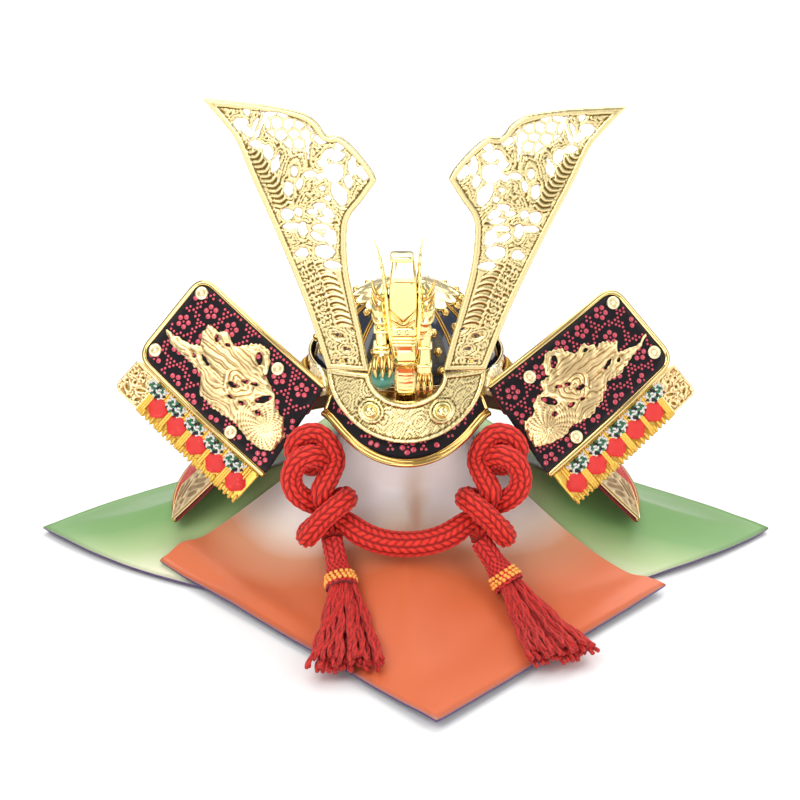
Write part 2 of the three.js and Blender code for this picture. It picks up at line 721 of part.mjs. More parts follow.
function hornShape() {
  const outline = [...hornEdge.outer, ...hornEdge.top, ...hornEdge.inner];
  const shape = new THREE.Shape(outline.map(([x, z]) => new THREE.Vector2(x * hornReach, z * hornHeight)));
  const rows = 8;
  const innerSide = [...hornEdge.inner].reverse().concat([...hornEdge.top].reverse().slice(0, 5));
  for (let row = 0; row < rows; row += 1) {
    const low = 0.045 + (row * 0.88) / rows;
    const high = low + 0.88 / rows - hornBar / hornHeight;
    const middle = (low + high) / 2;
    const inside = (height) => edgeAt(innerSide, height) * hornReach + hornBorder;
    const outside = (height) => edgeAt(hornEdge.outer, height) * hornReach - hornBorder;
    const cells = Math.max(1, Math.round((outside(middle) - inside(middle)) / 11));
    for (let cell = 0; cell < cells; cell += 1) {
      const at = (share, height) => {
        const from = inside(height);
        return new THREE.Vector2(from + (outside(height) - from) * share, height * hornHeight);
      };
      const bar = hornBar / 2 / (outside(middle) - inside(middle));
      const left = cell / cells + bar;
      const right = (cell + 1) / cells - bar;
      const centre = (left + right) / 2;
      const bow = 0.004;
      const cut = [
        at(left, low), at(centre, low - bow), at(right, low),
        at(right, high), at(centre, high + bow), at(left, high),
      ];
      shape.holes.push(new THREE.Path(cut));
    }
  }
  return shape;
}

function addHorns() {
  const plate = new THREE.ExtrudeGeometry(hornShape(), { depth: hornWall, bevelEnabled: false });
  const turn = radians(hornRoll);
  const foot = (baseInnerHalf + baseHalf) / 2;
  const footY = baseFace(foot, baseTop) + (baseWall - hornWall) / 2;
  for (const side of [-1, 1]) {
    const footEdge = side < 0 ? hornEdge.inner.at(-1)[0] : -hornEdge.outer[0][0];
    const dip = footEdge * hornReach * Math.sin(turn);
    const geometry = cleaned(plate.clone(), (p) => {
      const x = side * p.x;
      const y = footY + p.z + 0.1 * (p.x - foot) - 0.035 * p.y;
      const cos = Math.cos(turn);
      const sin = Math.sin(turn);
      return vec(x * cos + p.y * sin, y, hornFoot - dip + p.y * cos - x * sin);
    });
    add(`horn_${side < 0 ? 'left' : 'right'}`, geometry, materials.gold);
  }
}

// Dragon crest behind the base's opening: rows give the height over the bowl's lower edge, half
// width, half depth and place forwards
const crestRows = [
  { rise: 2, half: 6.3, deep: 2.9, fore: 0 },
  { rise: 14, half: 6.3, deep: 2.9, fore: 0 },
  { rise: 21, half: 9.5, deep: 4.5, fore: 4 },
  { rise: 34, half: 12, deep: 6, fore: 6.5 },
  { rise: 44, half: 11, deep: 6, fore: 8.5 },
  { rise: 54, half: 6.8, deep: 5, fore: 10 },
  { rise: 64, half: 5.8, deep: 3.2, fore: 10 },
  { rise: 71, half: 4.6, deep: 2, fore: 9.5 },
];
const crestShift = -0.6;
const crestY = -(bandOuter - bowlBack) - fitGap - 3.2;
// a crest point: sideways, forwards from the column, height over the bowl's lower edge
const crestPoint = (x, fore, rise) => vec(x, crestY - fore, bowlBase + rise);
const clawTip = crestPoint(-9.2, 11, 26.6);
const crestArms = [
  { radius: 3, points: [[-8, 7, 58], [-12.5, 9, 46], [-11.5, 10, 35], [-9.2, 11, 26.6]] },
  { radius: 3, points: [[7, 7, 56], [10.5, 7, 44], [11, 6, 30], [10, 4, 20]] },
  { radius: 1.3, points: [[-4.5, 7, 48], [-8, 9, 60], [-9.5, 10, 69], [-13, 10, 77]] },
  { radius: 1.3, points: [[3.5, 7, 48], [5, 9, 60], [5.2, 10, 69], [7.4, 10, 78]] },
];

function addCrest() {
  const sides = 10;
  const squareness = 1.12; // above 1 the sections' sides go flat
  const flatten = (value) => Math.max(-1, Math.min(1, value * squareness));
  const ring = ({ rise, half, deep, fore }) => Array.from({ length: sides }, (_, i) => {
    const angle = (2 * Math.PI * i) / sides;
    return crestPoint(
      half * flatten(Math.cos(angle)) + crestShift,
      fore - deep * flatten(Math.sin(angle)),
      rise,
    );
  });
  const arms = crestArms.map(({ radius, points }) => tube(points.map((p) => crestPoint(...p)), radius, 5, 4));
  const pieces = [loft(crestRows.map(ring)), ...arms];
  add('dragon_crest', joined(pieces), materials.gold);
  const jewel = new THREE.SphereGeometry(jewelRadius, 10, 7);
  const centre = clawTip.clone().add(vec(0, -1.6, -jewelRadius - fitGap - 1.1));
  add('jewel', cleaned(jewel, (p) => p.add(centre)), materials.jade);
}

// Chin cord: the knot's route on the viewer's left, from the tassel to the swag; the other
// side mirrors it. Chosen by hand.
const knotRoute = [
  [-29.7, -57.5, 28.5], [-31.3, -51.5, 30.0], [-34.9, -50.0, 30.9], [-38.7, -53.3, 29.9],
  [-39.8, -58.8, 30.0], [-37.6, -61.5, 33.8], [-34.0, -61.0, 38.4], [-30.1, -60.0, 41.9],
  [-26.4, -57.5, 44.0], [-24.0, -52.8, 43.6], [-24.8, -47.8, 42.0], [-29.3, -46.3, 39.8],
  [-35.4, -47.9, 39.2], [-40.8, -50.5, 42.6], [-44.9, -51.3, 47.4], [-45.9, -50.2, 52.8],
  [-43.3, -49.2, 58.6], [-38.8, -47.6, 60.6], [-35.0, -43.2, 57.0], [-38.1, -40.6, 52.9],
  [-43.6, -39.6, 55.7], [-44.8, -40.4, 60.9], [-41.4, -39.6, 65.3], [-36.1, -39.2, 66.1],
  [-31.2, -40.4, 62.1], [-28.9, -42.3, 55.8], [-31.0, -47.5, 51.4], [-33.8, -51.9, 46.7],
  [-31.6, -49.6, 38.4], [-27.0, -51.8, 34.5], [-22.9, -54.4, 32.8],
];
const swagRoute = [[-22.9, -54.4, 32.8], [-17, -57.8, 30.2], [-9, -60.6, 28.5], [0, -61.6, 28]];
// gap: along the line from the cord's end to the tassel's head; mid and end: plan points on the cloth
const tassels = [
  { label: 'left', side: -1, gap: 0.8, mid: [-25, -77], end: [-23, -121] },
  { label: 'right', side: 1, gap: 3.6, mid: [45.5, -73], end: [61, -113] },
];
// way: share from head to end; wide and thick: half sizes as shares of tasselHead
const tasselRows = [
  { way: 0, wide: 0.95, thick: 0.95 },
  { way: 0.24, wide: 1.1, thick: 1.05 },
  { way: 0.3, wide: 1.35, thick: 1.2 },
  { way: 0.42, wide: 1.75, thick: 1.2 },
  { way: 0.7, wide: 2.4, thick: 1.1 },
  { way: 1, wide: 3, thick: 0.95 },
];

function addCord() {
  const point = ([x, y, z], side = -1) => vec(-side * x, y, z);
  const swag = [
    ...swagRoute.map((p) => point(p)),
    ...swagRoute.slice(0, -1).reverse().map((p) => point(p, 1)),
  ];
  const swagCurve = new THREE.CatmullRomCurve3(swag, false, 'centripetal');
  const cut = (fitGap + 0.4) / swagCurve.getLength();
  const swagPoints = Array.from({ length: 9 }, (_, i) => swagCurve.getPointAt(cut + ((1 - 2 * cut) * i) / 8));
  for (const { label, side, gap, mid, end } of tassels) {
    const knot = new THREE.CatmullRomCurve3(knotRoute.map((p) => point(p, side)), false, 'centripetal');
    const pieces = 7;
    const strands = Array.from({ length: pieces }, (_, i) => {
      const from = i / pieces;
      const to = Math.min(1, (i + 1.1) / pieces);
      const samples = Array.from({ length: 4 }, (__, k) => knot.getPointAt(from + ((to - from) * k) / 3));
      return tube(samples, knotCordRadius, 5, 2);
    });
    add(`knot_${label}`, joined(strands), materials.red);

    const start = point(knotRoute[0], side);
    const route = [start.clone().add(vec(0, -0.6, -0.8))];
    for (const [x, y] of [mid, end]) route.push(vec(x, y, clothTop(x, y) + tasselHead + fitGap));
    const line = new THREE.CatmullRomCurve3(route, false, 'centripetal');
    const sides = 16;
    const rings = tasselRows.map(({ way, wide, thick }) => {
      const from = gap / line.getLength();
      const centre = line.getPointAt(from + (1 - from) * way);
      const run = line.getTangentAt(from + (1 - from) * way);
      const across = vec(0, 0, 0).crossVectors(run, vec(0, 0, 1)).normalize();
      const up = vec(0, 0, 0).crossVectors(across, run).normalize();
      return Array.from({ length: sides }, (_, i) => {
        const angle = (2 * Math.PI * i) / sides;
        const lock = way > 0.35 && i % 2 ? 0.82 : 1;
        return centre.clone()
          .addScaledVector(across, tasselHead * wide * lock * Math.cos(angle))
          .addScaledVector(up, tasselHead * thick * lock * Math.sin(angle) * 0.9);
      });
    });
    add(`tassel_${label}`, loft(rings), materials.red);
  }
  add('cord_swag', tube(swagPoints, cordRadius, 8, 12), materials.red);
}

addPost();
addCloths();
addBowl();
addVisor();
addGuard();
panelSides.forEach(addPanel);
addHornBase();
addHorns();
addCrest();
addCord();

export default helmet;
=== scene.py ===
# A miniature display kabuto on a post draped with two lined silk cloths.
# Sizes are in millimetres and turned to metres when a mesh is made.
import json
import math

import bpy
import numpy as np
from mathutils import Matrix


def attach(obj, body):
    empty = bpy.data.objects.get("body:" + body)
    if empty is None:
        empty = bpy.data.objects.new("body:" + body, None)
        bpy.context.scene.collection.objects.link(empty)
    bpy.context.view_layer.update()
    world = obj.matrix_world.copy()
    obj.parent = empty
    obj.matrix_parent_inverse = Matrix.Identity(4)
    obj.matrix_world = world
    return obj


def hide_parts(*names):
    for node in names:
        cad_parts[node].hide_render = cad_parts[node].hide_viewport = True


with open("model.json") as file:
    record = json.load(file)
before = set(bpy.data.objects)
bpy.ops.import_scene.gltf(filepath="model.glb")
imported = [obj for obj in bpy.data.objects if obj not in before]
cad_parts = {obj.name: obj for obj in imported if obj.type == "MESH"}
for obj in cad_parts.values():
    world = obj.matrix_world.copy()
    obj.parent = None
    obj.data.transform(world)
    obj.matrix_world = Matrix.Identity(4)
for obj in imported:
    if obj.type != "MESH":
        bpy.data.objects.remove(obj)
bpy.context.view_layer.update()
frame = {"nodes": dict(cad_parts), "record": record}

MM = 0.001
TAU = 2 * math.pi
GAP = 0.3  # between pieces that touch on the real one
UP = np.array([0, 0, 1.0])

# Camera at the photograph's angle
TARGET = (-2.5, 0.0, 63.0)
ELEVATION = math.radians(25)
DISTANCE = 850.0
LENS, SENSOR = 91.0, 36.0


def make_camera():
    data = bpy.data.cameras.new("camera")
    data.lens, data.sensor_width = LENS, SENSOR
    camera = bpy.data.objects.new("camera", data)
    place = np.array(TARGET) + [0, -DISTANCE * math.cos(ELEVATION), DISTANCE * math.sin(ELEVATION)]
    camera.location = place * MM
    camera.rotation_euler = (math.pi / 2 - ELEVATION, 0, 0)
    bpy.context.scene.collection.objects.link(camera)
    bpy.context.scene.camera = camera


make_camera()


# Mesh making
def full_turn(count):
    """Angles of points spread evenly round a circle."""
    return np.linspace(0, TAU, count, endpoint=False)


def unit(vectors):
    return vectors / np.linalg.norm(vectors, axis=-1, keepdims=True)


def bell(offset, width):
    """Bell curve: 1 at no offset, 0.37 at the width."""
    return np.exp(-(offset / width) ** 2)


def smooth_step(low, high, value):
    t = np.clip((value - low) / (high - low), 0, 1)
    return t * t * (3 - 2 * t)


def run_along(points):
    """Way along a polyline to each of its points."""
    return np.concatenate([[0], np.cumsum(np.linalg.norm(np.diff(points, axis=0), axis=1))])


def make_piece(name, shape, materials, nodes=(), uv=None, index=None, values=None):
    """One mesh object; the shape is its points in mm and its faces. uv and values are given per
    point, index per face. A quad that repeats a corner becomes a triangle."""
    points, faces = shape
    mesh = bpy.data.meshes.new(name)
    rows = faces.tolist() if isinstance(faces, np.ndarray) else faces
    rows = [list(dict.fromkeys(row)) for row in rows]
    mesh.from_pydata((np.asarray(points) * MM).tolist(), [], rows)
    mesh.update()
    loops = np.empty(len(mesh.loops), dtype=np.int32)
    mesh.loops.foreach_get("vertex_index", loops)
    if uv is not None:
        layer = mesh.uv_layers.new(name="lay")
        layer.data.foreach_set("uv", np.asarray(uv, dtype=np.float32)[loops].ravel())
    for key, data in (values or {}).items():
        attribute = mesh.attributes.new(key, "FLOAT", "POINT")
        attribute.data.foreach_set("value", np.asarray(data, dtype=np.float32).ravel())
    mesh.shade_smooth()
    for material in materials:
        mesh.materials.append(material)
    if index is not None:
        mesh.polygons.foreach_set("material_index", np.asarray(index, dtype=np.int32))
    piece = bpy.data.objects.new(name, mesh)
    bpy.context.scene.collection.objects.link(piece)
    if nodes:
        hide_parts(*nodes)
    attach(piece, "root")
    return piece


def grid_faces(rows, columns, close_rows=False, close_columns=False, start=0):
    """Quads of a grid whose point (i, j) has the index i * columns + j."""
    i = np.arange(rows if close_rows else rows - 1)[:, None]
    j = np.arange(columns if close_columns else columns - 1)[None, :]
    ni, nj = (i + 1) % rows, (j + 1) % columns
    quads = np.stack([i * columns + j, ni * columns + j, ni * columns + nj, i * columns + nj], -1)
    return quads.reshape(-1, 4) + start


def stack(parts):
    """Joins (points, faces) pairs into one."""
    points, faces, start = [], [], 0
    for p, f in parts:
        points.append(p)
        faces.append(np.asarray(f) + start)
        start += len(p)
    return np.concatenate(points), np.concatenate(faces)


def spline(points, count):
    """Centripetal Catmull-Rom curve through points, resampled evenly along its length."""
    p = np.asarray(points, dtype=float)
    p = np.vstack([2 * p[0] - p[1], p, 2 * p[-1] - p[-2]])
    step = np.maximum(np.linalg.norm(np.diff(p, axis=0), axis=1) ** 0.5, 1e-6)
    fine = []
    share = np.linspace(0, 1, 24, endpoint=False)[:, None]
    for k in range(1, len(p) - 2):
        t0, t1, t2, t3 = 0, step[k - 1], step[k - 1] + step[k], step[k - 1] + step[k] + step[k + 1]
        t = t1 + (t2 - t1) * share
        a1 = (t1 - t) / (t1 - t0) * p[k - 1] + (t - t0) / (t1 - t0) * p[k]
        a2 = (t2 - t) / (t2 - t1) * p[k] + (t - t1) / (t2 - t1) * p[k + 1]
        a3 = (t3 - t) / (t3 - t2) * p[k + 1] + (t - t2) / (t3 - t2) * p[k + 2]
        b1 = (t2 - t) / (t2 - t0) * a1 + (t - t0) / (t2 - t0) * a2
        b2 = (t3 - t) / (t3 - t1) * a2 + (t - t1) / (t3 - t1) * a3
        fine.append((t2 - t) / (t2 - t1) * b1 + (t - t1) / (t2 - t1) * b2)
    fine = np.vstack(fine + [p[-2][None]])
    run = run_along(fine)
    even = np.linspace(0, run[-1], count)
    return np.stack([np.interp(even, run, fine[:, k]) for k in range(3)], 1), run[-1]


def smooth_rows(rows, count):
    """Rows of a table resampled smoothly (Catmull-Rom through each column)."""
    r = np.asarray(rows, dtype=float)
    p = np.vstack([2 * r[0] - r[1], r, 2 * r[-1] - r[-2]])
    t = np.linspace(0, len(r) - 1, count)
    k = np.minimum(t.astype(int), len(r) - 2)
    f = (t - k)[:, None]
    a, b, c, d = p[k], p[k + 1], p[k + 2], p[k + 3]
    return 0.5 * (2 * b + (c - a) * f + (2 * a - 5 * b + 4 * c - d) * f ** 2
                  + (3 * b - a - 3 * c + d) * f ** 3)


def carried_frames(path):
    """Two cross directions along a path, turned as little as possible from point to point."""
    run = unit(np.gradient(path, axis=0))
    side = np.zeros_like(run)
    side[0] = unit(np.cross(run[0], UP))
    for k in range(1, len(path)):
        side[k] = unit(side[k - 1] - run[k] * np.dot(side[k - 1], run[k]))
    return side, np.cross(run, side)


def end_caps(rows, sides):
    """Fans that close a tube of rings: from the point after the last ring to the first ring, and
    from the point after that to the last ring, as quads that repeat a corner."""
    j = np.arange(sides)
    nj, base, count = (j + 1) % sides, (rows - 1) * sides, rows * sides
    low = np.stack([np.full(sides, count), j, nj, nj], 1)
    return low, np.stack([np.full(sides, count + 1), base + nj, base + j, base + j], 1)


def sweep(path, radius, sides):
    """A closed tube round a path; radius is an array (path points, sides) or one per path point.
    A point is the path's point plus the radius times the cross direction at its angle."""
    side, up = carried_frames(path)
    angle = full_turn(sides)
    r = np.asarray(radius, dtype=float)
    r = r if r.ndim == 2 else np.broadcast_to(r[:, None], (len(path), sides))
    ring = np.cos(angle)[None, :, None] * side[:, None] + np.sin(angle)[None, :, None] * up[:, None]
    points = path[:, None] + ring * r[..., None]
    faces = np.vstack([grid_faces(len(path), sides, close_columns=True), *end_caps(len(path), sides)])
    return np.vstack([points.reshape(-1, 3), path[0], path[-1]]), faces


def roll(path, radius, sides):
    """A tube of one radius."""
    return sweep(path, np.full(len(path), radius), sides)


def tube_lay(along, around):
    """Place of a tube's points for its texture: the way along it and the way round it."""
    lay = np.zeros((len(along) * len(around) + 2, 2))
    lay[:-2, 0], lay[:-2, 1] = np.repeat(along, len(around)), np.tile(around, len(along))
    return lay


def open_wall(outer, inner):
    """A wall between two grids of points, closed along all four edges."""
    columns, rows = outer.shape[:2]
    count = columns * rows
    faces = [grid_faces(columns, rows), grid_faces(columns, rows, start=count)[:, ::-1]]
    i, j = np.arange(columns - 1), np.arange(rows - 1)
    for c in (0, rows - 1):
        a, b = i * rows + c, (i + 1) * rows + c
        edge = np.stack([a, b, b + count, a + count], 1)
        faces.append(edge[:, ::-1] if c else edge)
    for c in (0, columns - 1):
        a, b = c * rows + j, c * rows + j + 1
        edge = np.stack([b, a, a + count, b + count], 1)
        faces.append(edge[:, ::-1] if c else edge)
    return np.vstack([outer.reshape(-1, 3), inner.reshape(-1, 3)]), np.vstack(faces)


def round_wall(outer, inner, close_last=False):
    """A wall between two grids whose rows are rings, closed at the first ring, and at the last
    one too on request."""
    rows, columns = outer.shape[:2]
    count, last, i = rows * columns, (rows - 1) * columns, np.arange(columns)
    n = (i + 1) % columns
    faces = [grid_faces(rows, columns, close_columns=True),
             grid_faces(rows, columns, close_columns=True, start=count)[:, ::-1],
             np.stack([i, i + count, n + count, n], 1)]
    if close_last:
        faces.append(np.stack([i, n, n + count, i + count], 1) + last)
    return np.vstack([outer.reshape(-1, 3), inner.reshape(-1, 3)]), np.vstack(faces)


# Chin cord: the same points as the CAD
KNOT = np.array([
    [-29.7, -57.5, 28.5], [-31.3, -51.5, 30.0], [-34.9, -50.0, 30.9], [-38.7, -53.3, 29.9],
    [-39.8, -58.8, 30.0], [-37.6, -61.5, 33.8], [-34.0, -61.0, 38.4], [-30.1, -60.0, 41.9],
    [-26.4, -57.5, 44.0], [-24.0, -52.8, 43.6], [-24.8, -47.8, 42.0], [-29.3, -46.3, 39.8],
    [-35.4, -47.9, 39.2], [-40.8, -50.5, 42.6], [-44.9, -51.3, 47.4], [-45.9, -50.2, 52.8],
    [-43.3, -49.2, 58.6], [-38.8, -47.6, 60.6], [-35.0, -43.2, 57.0], [-38.1, -40.6, 52.9],
    [-43.6, -39.6, 55.7], [-44.8, -40.4, 60.9], [-41.4, -39.6, 65.3], [-36.1, -39.2, 66.1],
    [-31.2, -40.4, 62.1], [-28.9, -42.3, 55.8], [-31.0, -47.5, 51.4], [-33.8, -51.9, 46.7],
    [-31.6, -49.6, 38.4], [-27.0, -51.8, 34.5],
])
SWAG = np.array([[-22.9, -54.4, 32.8], [-17, -57.8, 30.2], [-9, -60.6, 28.5], [0, -61.6, 28]])
MIRROR = np.array([-1.0, 1, 1])
KNOT_RADIUS, SWAG_RADIUS = 4.5, 5.25
SWAG_LENGTH, SWAG_EASE = 66, 14
CORD_PITCH, CORD_STRANDS = 3.1, 10
CORD_CORE, CORD_LUMP = 0.83, 0.2
CORD_ROWS, CORD_SIDES = 920, 40


def braid(along, angle, pitch, strands):
    """Height (0 to 1) of a round braid: lumps in a herringbone. Every second column of lumps
    leans the other way, and each lump is rounded off along and across its column."""
    column = angle * strands / TAU
    cell = np.floor(column)
    across = column - cell - 0.5
    lean = np.where(cell % 2 == 0, 1.0, -1.0)
    phase = along / pitch + lean * across * 0.9 + 0.5 * (cell % 2)
    along_lump = np.abs(np.cos(math.pi * phase)) ** 0.55
    return along_lump * (1 - (2 * np.abs(across)) ** 3.2) ** 0.5


def make_cord():
    left = np.vstack([KNOT, SWAG])
    path, length = spline(np.vstack([left, (left * MIRROR)[::-1][1:]]), CORD_ROWS)
    along = np.linspace(0, length, CORD_ROWS)
    start = (length - SWAG_LENGTH) / 2
    in_swag = smooth_step(start, start + SWAG_EASE, np.minimum(along, length - along))
    core = KNOT_RADIUS + (SWAG_RADIUS - KNOT_RADIUS) * in_swag
    angle = full_turn(CORD_SIDES)
    lump = braid(along[:, None], angle[None], CORD_PITCH, CORD_STRANDS)
    points, faces = sweep(path, core[:, None] * (CORD_CORE + CORD_LUMP * lump), CORD_SIDES)
    cord = make_piece("chin_cord", (points, faces), [CORD_RED],
                      ["knot_left", "knot_right", "cord_swag"], uv=tube_lay(along, angle * SWAG_RADIUS),
                      values={"height": np.append(lump.ravel(), [0.5, 0.5])})
    return cord, path


# Shader groups and materials
def new_group(name, inputs, outputs):
    group = bpy.data.node_groups.new(name, "ShaderNodeTree")
    for label, kind, default in inputs:
        socket = group.interface.new_socket(label, in_out="INPUT", socket_type=kind)
        socket.default_value = default
    for label, kind in outputs:
        group.interface.new_socket(label, in_out="OUTPUT", socket_type=kind)
    return group, group.nodes.new("NodeGroupInput"), group.nodes.new("NodeGroupOutput")


def feed(tree, socket, value):
    """Links an output to an input, or sets the input to a constant."""
    if isinstance(value, bpy.types.NodeSocket):
        tree.links.new(value, socket)
    else:
        socket.default_value = value


def node(tree, kind, settings=None, **sockets):
    """A node with its inputs given by name, with underscores for spaces."""
    made = tree.nodes.new(kind)
    for key, value in (settings or {}).items():
        setattr(made, key, value)
    for key, value in sockets.items():
        feed(tree, made.inputs[key.replace("_", " ")], value)
    return made


def attribute(tree, name):
    return node(tree, "ShaderNodeAttribute", {"attribute_name": name}).outputs["Fac"]


def math_node(tree, operation, *values, clamp=False):
    made = node(tree, "ShaderNodeMath", {"operation": operation, "use_clamp": clamp})
    for k, value in enumerate(values):
        feed(tree, made.inputs[k], value)
    return made.outputs[0]


def mix_colour(tree, factor, one, two):
    """Mixes two colours; a colour is an output or red, green and blue."""
    made = node(tree, "ShaderNodeMix", {"data_type": "RGBA"})
    feed(tree, made.inputs[0], factor)
    for k, colour in ((6, one), (7, two)):
        feed(tree, made.inputs[k], (*colour, 1) if isinstance(colour, (tuple, list)) else colour)
    return made.outputs[2]


def make_edge_masks():
    """Masks from pointedness: Edge goes from 0 on flat faces to 1 on edges, GrooveShade from 0 to 1 in
    grooves for painted shade there; Grain is fine noise.
    """
    group, inside, outside = new_group(
        "edge_groove_masks",
        [("Scale", "NodeSocketFloat", 900.0)],
        [("Edge", "NodeSocketFloat"), ("GrooveShade", "NodeSocketFloat"), ("Grain", "NodeSocketFloat")],
    )
    spot = node(group, "ShaderNodeTexCoord")
    grain = node(group, "ShaderNodeTexNoise", Vector=spot.outputs["Object"],
                 Scale=inside.outputs["Scale"], Detail=6.0)
    point = node(group, "ShaderNodeNewGeometry").outputs["Pointiness"]
    edge = node(group, "ShaderNodeMapRange", Value=point, From_Min=0.5, From_Max=0.58)
    groove_shade = node(group, "ShaderNodeMapRange", Value=point, From_Min=0.5, From_Max=0.42)
    group.links.new(edge.outputs[0], outside.inputs["Edge"])
    group.links.new(groove_shade.outputs[0], outside.inputs["GrooveShade"])
    group.links.new(grain.outputs[0], outside.inputs["Grain"])
    return group


EDGE_MASKS = make_edge_masks()


def new_material(name):
    material = bpy.data.materials.new(name)
    material.use_nodes = True
    tree = material.node_tree
    return material, tree, tree.nodes["Principled BSDF"]


def put(shader, **values):
    for key, value in values.items():
        shader.inputs[key.replace("_", " ")].default_value = value


def edge_mask_nodes(tree, scale):
    return node(tree, "ShaderNodeGroup", {"node_tree": EDGE_MASKS}, Scale=scale).outputs


def add_bump(tree, shader, height, distance, strength=1.0):
    bump = node(tree, "ShaderNodeBump", Height=height, Distance=distance, Strength=strength)
    tree.links.new(bump.outputs[0], shader.inputs["Normal"])


def make_metal(name, light, shaded, rough, grain_depth=0.00003, chased=False):
    """Plated metal: painted shade darkens the grooves, paler on pointed edges, with fine uneven polish. On
    chased metal the attribute tone paints the shade in the grooves and a highlight on the ridges instead."""
    material, tree, shader = new_material(name)
    put(shader, Metallic=1.0)
    masks = edge_mask_nodes(tree, 900.0)
    if chased:
        # painted shade in grooves and painted highlight on ridges, read from tone
        share = node(tree, "ShaderNodeMapRange", {"interpolation_type": "SMOOTHSTEP"},
                     Value=attribute(tree, "tone"), From_Min=0.12, From_Max=0.68)
        base = mix_colour(tree, share.outputs[0], shaded, light)
    else:
        # painted shade: the shaded colour fills the grooves
        base = mix_colour(tree, masks["GrooveShade"], light, shaded)
    pale = mix_colour(tree, masks["Edge"], base, [min(1, c * 1.15 + 0.05) for c in light])
    tree.links.new(pale, shader.inputs["Base Color"])
    rough_map = node(tree, "ShaderNodeMapRange", Value=masks["Grain"], To_Min=rough * 0.75, To_Max=rough * 1.3)
    tree.links.new(rough_map.outputs[0], shader.inputs["Roughness"])
    add_bump(tree, shader, masks["Grain"], grain_depth, 0.5)
    return material


def make_silk(name, ramp, sheen=0.35):
    """Satin: the attribute fade_and_shade picks the colour (the dye's fade, with painted shade in the orange
    cloth's front valley); warp and weft waves give the weave.
    """
    material, tree, shader = new_material(name)
    fade_and_shade = attribute(tree, "fade_and_shade")
    spot = node(tree, "ShaderNodeTexCoord").outputs["Object"]
    cloud = node(tree, "ShaderNodeTexNoise", Vector=spot, Scale=28.0, Detail=3.0)
    shift = math_node(tree, "MULTIPLY_ADD", cloud.outputs[0], 0.14, -0.07)
    colours = node(tree, "ShaderNodeValToRGB", Fac=math_node(tree, "ADD", fade_and_shade, shift))
    elements = colours.color_ramp.elements
    for k, (at, colour) in enumerate(ramp):
        element = elements[k] if k < 2 else elements.new(at)
        element.position, element.color = at, (*colour, 1)
    tree.links.new(colours.outputs[0], shader.inputs["Base Color"])
    put(shader, Roughness=0.42, Sheen_Weight=sheen, Sheen_Roughness=0.35, Specular_IOR_Level=0.45)
    warp, weft = (node(tree, "ShaderNodeTexWave", {"bands_direction": direction}, Vector=spot, Scale=520.0,
                       Distortion=0.6, Detail=1.0).outputs["Fac"] for direction in ("X", "Y"))
    add_bump(tree, shader, math_node(tree, "ADD", warp, weft), 0.00003, 0.35)
    return material


def make_plain(name, colour, rough, metallic=0.0, grain=600.0, depth=0.00004, coat=0.0, shine=0.5):
    """Painted, moulded or board surface with a fine grain and slightly paler edges."""
    material, tree, shader = new_material(name)
    masks = edge_mask_nodes(tree, grain)
    tone = mix_colour(tree, masks["Grain"], [c * 0.72 for c in colour], colour)
    edge_paled = mix_colour(tree, masks["Edge"], tone, [min(1, c * 1.2 + 0.02) for c in colour])
    tree.links.new(edge_paled, shader.inputs["Base Color"])
    put(shader, Roughness=rough, Metallic=metallic, Coat_Weight=coat, Coat_Roughness=0.05,
        Specular_IOR_Level=shine)
    add_bump(tree, shader, masks["Grain"], depth, 0.4)
    return material


def make_braid_material(name, light, shaded, strand_pitch=0.55):
    """Braided silk: painted shade darkens it between the lumps, thin strands drawn along each lump."""
    material, tree, shader = new_material(name)
    height = attribute(tree, "height")
    lay = node(tree, "ShaderNodeUVMap", {"uv_map": "lay"})
    split = node(tree, "ShaderNodeSeparateXYZ", Vector=lay.outputs[0])
    across = math_node(tree, "MULTIPLY", split.outputs[1], TAU / strand_pitch)
    along = math_node(tree, "MULTIPLY", split.outputs[0], TAU / strand_pitch * 0.35)
    strands = math_node(tree, "SINE", math_node(tree, "ADD", across, along))
    spot = node(tree, "ShaderNodeTexCoord").outputs["Object"]
    cloud = node(tree, "ShaderNodeTexNoise", Vector=spot, Scale=350.0, Detail=4.0)
    lift = node(tree, "ShaderNodeMapRange", Value=height, From_Min=0.15, From_Max=0.85)
    tone = math_node(tree, "MULTIPLY", cloud.outputs[0], 0.3)
    share = math_node(tree, "SUBTRACT", lift.outputs[0], tone, clamp=True)
    # painted shade: low height gets the shaded colour
    tree.links.new(mix_colour(tree, share, shaded, light), shader.inputs["Base Color"])
    put(shader, Roughness=0.6, Sheen_Weight=0.12, Sheen_Roughness=0.4, Specular_IOR_Level=0.3)
    add_bump(tree, shader, strands, 0.00006, 0.6)
    return material


# the second colour of each metal is painted shade for its grooves
GOLD = make_metal("gold_plate", (1.0, 0.82, 0.42), (0.5, 0.3, 0.08), 0.2)
BRIGHT_GOLD = make_metal("polished_gold", (1.0, 0.79, 0.36), (0.6, 0.34, 0.08), 0.1, 0.00001)
PALE_GOLD = make_metal("satin_gold", (1.0, 0.82, 0.52), (0.62, 0.38, 0.16), 0.36)
CHASED_GOLD = make_metal("chased_gold", (0.8, 0.66, 0.33), (0.16, 0.09, 0.015), 0.27, chased=True)
CHASED_PALE = make_metal("chased_pale_gold", (0.94, 0.69, 0.35), (0.42, 0.22, 0.07), 0.34, chased=True)
